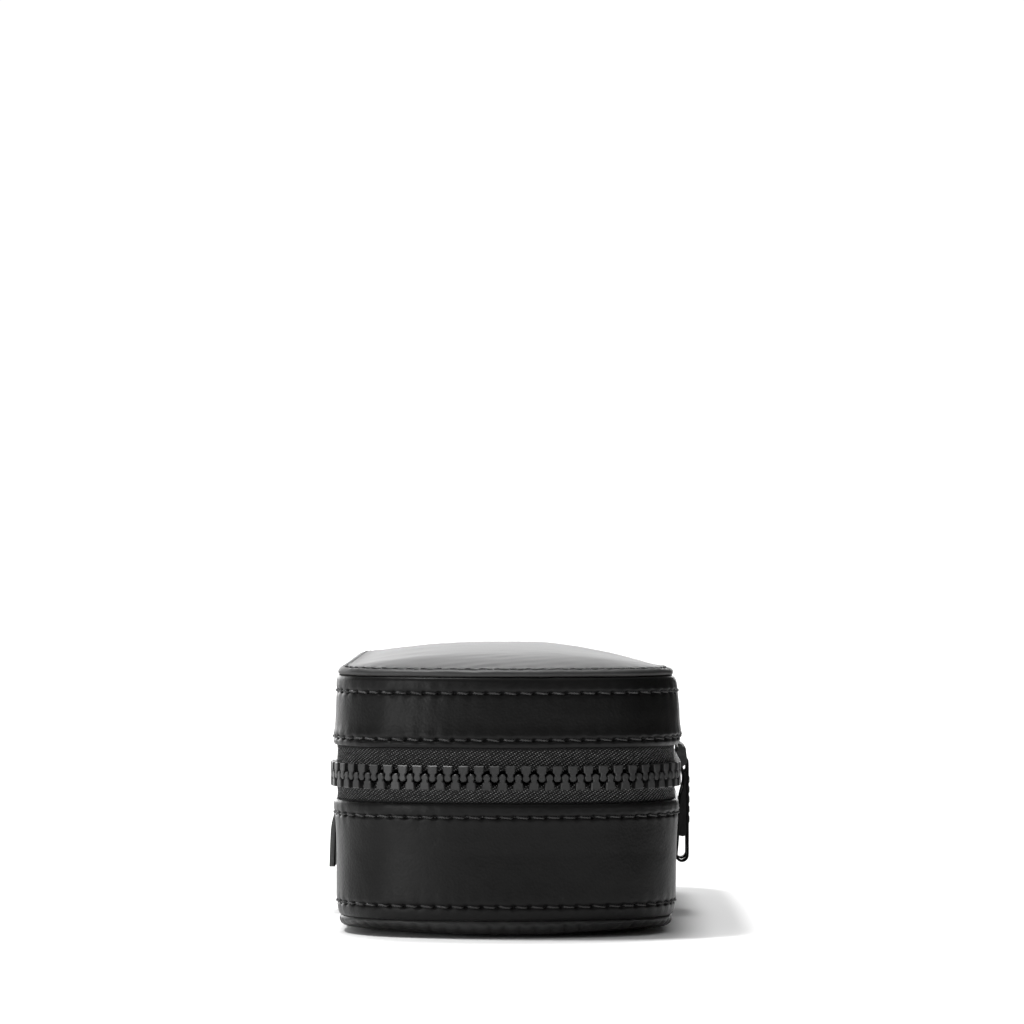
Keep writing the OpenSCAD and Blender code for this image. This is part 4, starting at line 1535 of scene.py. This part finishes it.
@dataclass
class Furnishing:
    """Dividers, ring rolls and the lid's pocket."""

    ring_x: float = 26.628
    divider: float = 1.8
    divider_h: float = 17.0
    roll_gap: float = 0.3
    roll_w: float = 10.762
    roll_h: float = 13.5
    pocket: tuple[float, float, float] = (86.8, -9.2, 32.8)

    def slab(self, name: str, path: Sequence[tuple[float, float]], half: float, top: float) -> Object:
        """A padded divider: a lined board with a rounded top edge.

        Args:
            name: The piece's name.
            path: Its ends in plan.
            half: Half of its thickness.
            top: Its top level.

        Returns:
            The object.
        """
        a, b = (np.asarray(p, float) for p in path)
        t = np.linspace(0, 1, 90)
        line = a[None] + (b - a)[None] * t[:, None]
        run = (b - a) / np.linalg.norm(b - a)
        side = np.array([-run[1], run[0]])
        section = [(-half, FLOOR_Z + 0.02), (-half, 14), (-half - 0.05, top - 1.6), (-half * 0.9, top - 0.6),
                   (-half * 0.5, top - 0.12), (0, top), (half * 0.5, top - 0.12), (half * 0.9, top - 0.6),
                   (half + 0.05, top - 1.6), (half, 14), (half, FLOOR_Z + 0.02)]
        rows = []
        for n, z in section:
            sag = 0.12 * np.sin(t * 9) * (z > 10)
            across, along = line[:, 0] + side[0] * n, line[:, 1] + side[1] * n
            rows.append(np.column_stack([across, along, z - np.abs(sag) * (z > 20)]))
        piece = Piece(name)
        piece.grid(np.array(rows), around=True, along=False)
        return piece.make(LINING)

    def roll(self, n: int) -> None:
        """Makes one ring roll, plump between its ends.

        Args:
            n: Its number, from 1 beside the divider.
        """
        x = self.ring_x + self.divider + self.roll_gap + (n - 0.5) * self.roll_w + (n - 1) * self.roll_gap
        r = self.roll_w / 2
        inner = Outline(off=LINING_FACE - self.roll_gap)
        ys = np.linspace(0, 41, 820)
        turn = np.linspace(0, math.pi, 17)
        base_z = FLOOR_Z + 0.05
        top = FLOOR_Z + self.roll_h
        section = [(-r + 0.7, base_z), (-r + 0.15, base_z + 0.5), (-r, base_z + 2)]
        section += [(-r * math.cos(a), top - r + r * math.sin(a)) for a in turn]
        section += [(r, base_z + 2), (r - 0.15, base_z + 0.5), (r - 0.7, base_z)]
        runs = ((-1, -0.94, 6), (-0.9, 0.9, 46), (0.94, 1, 6))
        share = np.concatenate([np.linspace(*run) for run in runs])
        rows = []
        for dx, z in section:
            ok = inner.inside(np.full_like(ys, x + dx), ys) > 0
            reach = (ys[ok][-1] if ok.any() else 4.0) - 0.1
            end = np.clip((np.abs(share) - 0.9) / 0.1, 0, 1)
            pinch = 1 - 0.22 * end**2.2
            zz = base_z + (z - base_z) * (1 - 0.10 * end**2) + 0.12 * np.sin(share * 23 + n) * (z > 12)
            rows.append(np.column_stack([x + dx * pinch, share * reach, zz]))
        piece = Piece(f"ring_roll_{n}_pad")
        piece.grid(np.array(rows), around=True, along=False)
        install(piece.make(LINING), Body.BASE, Slot.LINING, f"ring_roll_{n}")

    def pocket_panel(self) -> None:
        """Makes the lid's pocket: a soft panel, its walls and its mouth."""
        half_x, y0, y1 = self.pocket
        r, thick, z0, z1 = 16.3, 0.8, 53.9, CEILING_Z - 0.03
        corner = np.linspace(0, math.pi / 2, 14)
        rim = [(half_x, y) for y in np.linspace(y0, y1 - r, 16)]
        rim += [(half_x - r + r * math.cos(a), y1 - r + r * math.sin(a)) for a in corner[1:]]
        rim += [(x, y1) for x in np.linspace(half_x - r, 0, 30)[1:]]
        rim = rim + [(-x, y) for x, y in reversed(rim[:-1])]
        edge = np.array(rim)
        inward = edge - thick * self._outward(edge)
        piece = Piece("pocket_panel")
        rows = [
            np.column_stack([edge, np.full(len(edge), z1)]),
            np.column_stack([edge, np.full(len(edge), z0 + 1.2)]),
            np.column_stack([edge - 0.35 * self._outward(edge), np.full(len(edge), z0 + 0.3)]),
        ]
        for share in (0.985, 0.9, 0.7, 0.45, 0.2, 0.02):
            flat = edge.copy()
            flat[:, 0] *= share
            flat[:, 1] = y0 + (edge[:, 1] - y0) * (share if share < 0.98 else 0.985)
            sag = 0.25 * (1 - share)
            rows.append(np.column_stack([flat, np.full(len(edge), z0 - sag * 0.3)]))
        for share in (0.02, 0.2, 0.45, 0.7, 0.9, 0.97):
            flat = inward.copy()
            flat[:, 0] *= share
            flat[:, 1] = y0 + (inward[:, 1] - y0) * share
            rows.append(np.column_stack([flat, np.full(len(edge), z0 + thick)]))
        rows.append(np.column_stack([inward, np.full(len(edge), z0 + thick + 0.2)]))
        rows.append(np.column_stack([inward, np.full(len(edge), z1)]))
        piece.grid(np.array(rows), around=True, along=False)
        install(piece.make(LINING), Body.LID, Slot.LINING, "lid_pocket")
        x = np.arange(-(half_x - 1), half_x - 0.9, 0.45)
        turn = np.linspace(0.5 * math.pi, 1.5 * math.pi, 9)
        lip = [(2.3, 0.95), (1.2, 1.0)] + [(0.95 * math.cos(a), 0.98 * math.sin(a)) for a in turn]
        lip += [(1.2, -1.0), (2.3, -0.95), (2.3, -0.45), (0.2, -0.42), (0.2, 0.42), (2.3, 0.45)]
        rows = []
        for k, (dy, dz) in enumerate(lip):
            gather = 0.1 * np.sin(x * 2 * math.pi / 1.7 + 0.6 * np.sin(x / 5)) * (k < 13)
            rows.append(np.column_stack([x, y0 + dy + 0 * x, z0 + 0.4 + dz + gather * np.sign(dz)]))
        band = Piece("pocket_binding_elastic")
        band.grid(np.array(rows), around=True, along=False)
        install(band.make(BINDING), Body.LID, Slot.BINDING, "pocket_binding")

    @staticmethod
    def _outward(edge: Array) -> Array:
        """Outward normals of a run of points in plan."""
        run = np.gradient(edge, axis=0)
        run /= np.linalg.norm(run, axis=1)[:, None]
        return np.stack([run[:, 1], -run[:, 0]], 1)

    def build(self) -> None:
        """Makes them all."""
        x = self.ring_x + self.divider / 2
        boards = {
            "long_divider": [(-93.8, 0.0), (self.ring_x - 0.05, 0.0)],
            "short_divider": [(x, -37.7), (x, 37.7)],
        }
        for node, ends in boards.items():
            pad = self.slab(f"{node}_pad", ends, self.divider / 2, FLOOR_Z + self.divider_h)
            install(pad, Body.BASE, Slot.LINING, node)
        for n in range(1, 7):
            self.roll(n)
        self.pocket_panel()


@dataclass(frozen=True)
class Hardware:
    """CAD nodes that stay, with better finishes."""

    finishes: tuple[tuple[str, Finish], ...] = (
        ("left_slider", BLACK_METAL), ("right_slider", BLACK_METAL),
        ("zip_stops_lower", MOULDED), ("zip_stops_upper", MOULDED),
        ("base_floor_board", BOARD), ("base_wall_board", BOARD),
    )

    def dress(self, nodes: dict[str, Object]) -> None:
        """Gives each node its finish.

        Args:
            nodes: The frame's nodes by name.
        """
        for name, finish in self.finishes:
            for slot in nodes[name].material_slots:
                slot.material = finish.make()
            LOG.info("%s: dressed in %s", name, finish.name)


# ---- Studio -----------------------------------------------------------------


@dataclass
class Studio:
    """Pale floor, soft lights, a white surround, a black card and the camera."""

    lens: float = 197.4
    distance: float = 1431.3
    height: float = 101.5
    aside: float = -0.9
    yaw: float = math.radians(0.5)

    def floor(self) -> None:
        """Makes the floor."""
        piece = Piece("studio_floor")
        size = 16000.0
        piece.points(np.array([(-size, -size, 0), (size, -size, 0), (size, size, 0), (-size, size, 0)]))
        piece.face([0, 1, 2, 3])
        made = piece.make(Finish("studio_floor_white"))
        nodes = Nodes(made.data.materials[0].node_tree)
        tint = nodes.mix(nodes.noise(nodes.place(), 3.0), grey(0.90), grey(0.92))
        shader = nodes.add("ShaderNodeBsdfDiffuse", None, {"Color": tint})
        nodes.add("ShaderNodeOutputMaterial", None, {"Surface": shader})
        made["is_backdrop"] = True

    def surround(self) -> None:
        """Makes the white surround, brighter behind and to the left."""
        world = bpy.data.worlds.new("studio")
        bpy.context.scene.world = world
        world.use_nodes = True
        nodes = Nodes(world.node_tree)
        where = nodes.place("Generated")
        x = nodes.add("ShaderNodeSeparateXYZ", None, {0: where}, 0)
        y = nodes.add("ShaderNodeSeparateXYZ", None, {0: where}, 1)
        z = nodes.add("ShaderNodeSeparateXYZ", None, {0: where}, 2)
        window = (x * 0.97 + y * 0.17).ramp(0.7, 0.98) * z.ramp(-0.03, 0.08) * (1 - z.ramp(0.12, 0.5))
        side = (y * 0.95 + x * 0.2).ramp(-0.3, 0.9)
        overhead = z.ramp(0.4, 0.95)
        glow = window * 7.8 + side * 0.16 + overhead * 0.56 + 0.09
        seen = nodes.add("ShaderNodeLightPath", output="Is Camera Ray")
        power = glow * (1 - seen) + seen * 1.05
        back = nodes.add("ShaderNodeBackground", None, {"Color": grey(1.0), "Strength": power})
        nodes.add("ShaderNodeOutputWorld", None, {"Surface": back})

    def lamp(
        self, name: str, kind: str, where: Vector, aim: Vector, power: float, size: Sequence[float]
    ) -> None:
        """Adds a lamp.

        Args:
            name: Its name.
            kind: SUN or AREA.
            where: Its place in metres.
            aim: What it points at.
            power: Strength or watts.
            size: Angle in radians for a sun, width and height otherwise.
        """
        data = bpy.data.lights.new(name, kind)
        data.energy = power
        if kind == "SUN":
            data.angle = size[0]
        else:
            data.shape = "RECTANGLE"
            data.size, data.size_y = size
        lamp = bpy.data.objects.new(name, data)
        lamp.location = where
        lamp.rotation_euler = (aim - where).to_track_quat("-Z", "Y").to_euler()
        bpy.context.scene.collection.objects.link(lamp)

    def flag(self) -> None:
        """Stands a black card beside the front, unseen but for its reflection."""
        piece = Piece("studio_flag")
        left, right, y, low, high = -260, 600, -240, 1, 320
        piece.points(np.array([(left, y, low), (right, y, low), (right, y, high), (left, y, high)]))
        piece.face([0, 1, 2, 3])
        card = piece.make(GreyBoard("studio_black_card", tone=0.012))
        card.visible_camera = card.visible_shadow = False
        card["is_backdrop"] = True

    def camera(self) -> None:
        """Sets the level camera off the near end."""
        data = bpy.data.cameras.new("camera")
        data.lens, data.sensor_width = self.lens, 36.0
        data.clip_start, data.clip_end = 0.05, 60.0
        data.dof.use_dof = False
        cam = bpy.data.objects.new("camera", data)
        turn = Matrix.Rotation(self.yaw, 3, "Z")
        cam.location = turn @ Vector((-self.distance, self.aside, self.height)) * MM
        cam.rotation_euler = (math.pi / 2, 0, self.yaw - math.pi / 2)
        bpy.context.scene.collection.objects.link(cam)
        bpy.context.scene.camera = cam

    def build(self) -> None:
        """Sets the whole studio up."""
        scene = bpy.context.scene
        scene.view_settings.view_transform = "Standard"
        scene.view_settings.look = "None"
        self.floor()
        self.surround()
        self.flag()
        middle = Vector((0, 0, 0.03))
        self.lamp("side_sun", "SUN", Vector((0.04, 0.31, 1.03)), middle, 1.9, (0.14,))
        self.lamp("back_sun", "SUN", Vector((0.265, 0.056, 1.03)), middle, 1.5, (0.22,))
        self.lamp("strip", "AREA", Vector((-1.0, 0.98, 0.1)), Vector((-0.09, 0.02, 0.04)), 5.0, (0.15, 0.5))
        self.camera()


# ---- The whole case ---------------------------------------------------------


def corners() -> list[list[float]]:
    """The shown object's box as plain numbers."""
    return [[float(c) for c in corner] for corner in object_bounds()]


def main() -> None:
    """Builds every sub-assembly round the frame."""
    logging.basicConfig(level=logging.INFO, format="%(name)s: %(message)s")
    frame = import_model()
    lid_seams = (Seam(58.4, phase=0.1, seed=11), Seam(47.3, phase=0.55, pitch=3.9, seed=12))
    base_seams = (Seam(28.9, phase=0.35, pitch=3.8, seed=13), Seam(7.6, phase=0.8, seed=14))
    parts = [
        Studio(),
        Band(
            "lid_band_leather", "lid_band", Body.LID, LID_BOTTOM, LID_TOP, lid_seams, 0.75, 1.15,
            fix=settle, seed=3,
        ),
        Band(
            "base_band_leather", "base_band", Body.BASE, BASE_TOP, BOTTOM_EDGE, base_seams, 0.3, 1.0, 0.45,
            seed=5,
        ),
        TopCushion(),
        Underside(),
        ZipTape(
            "zip_tape_lower_weave", "zip_tape_lower", Body.BASE,
            BASE_TOP - TAPE_TUCK, BASE_TOP, CHAIN_Z - TAPE_EDGE,
        ),
        ZipTape(
            "zip_tape_upper_weave", "zip_tape_upper", Body.LID,
            LID_BOTTOM + TAPE_TUCK, LID_BOTTOM, CHAIN_Z + TAPE_EDGE,
        ),
        ZipTeeth("zip_teeth_lower_row", "zip_teeth_lower", Body.BASE, True, 0.25),
        ZipTeeth("zip_teeth_upper_row", "zip_teeth_upper", Body.LID, False, -0.25),
        HingeStrip(),
        BackTab(),
        Puller(Body.LEFT_PULLER, "left_puller", -6.4),
        Puller(Body.RIGHT_PULLER, "right_puller", 6.4),
        Lining(),
        Boards(),
        Furnishing(),
    ]
    for part in parts:
        part.build()
    Hardware().dress(frame["nodes"])


if __name__ == "__main__":
    main()
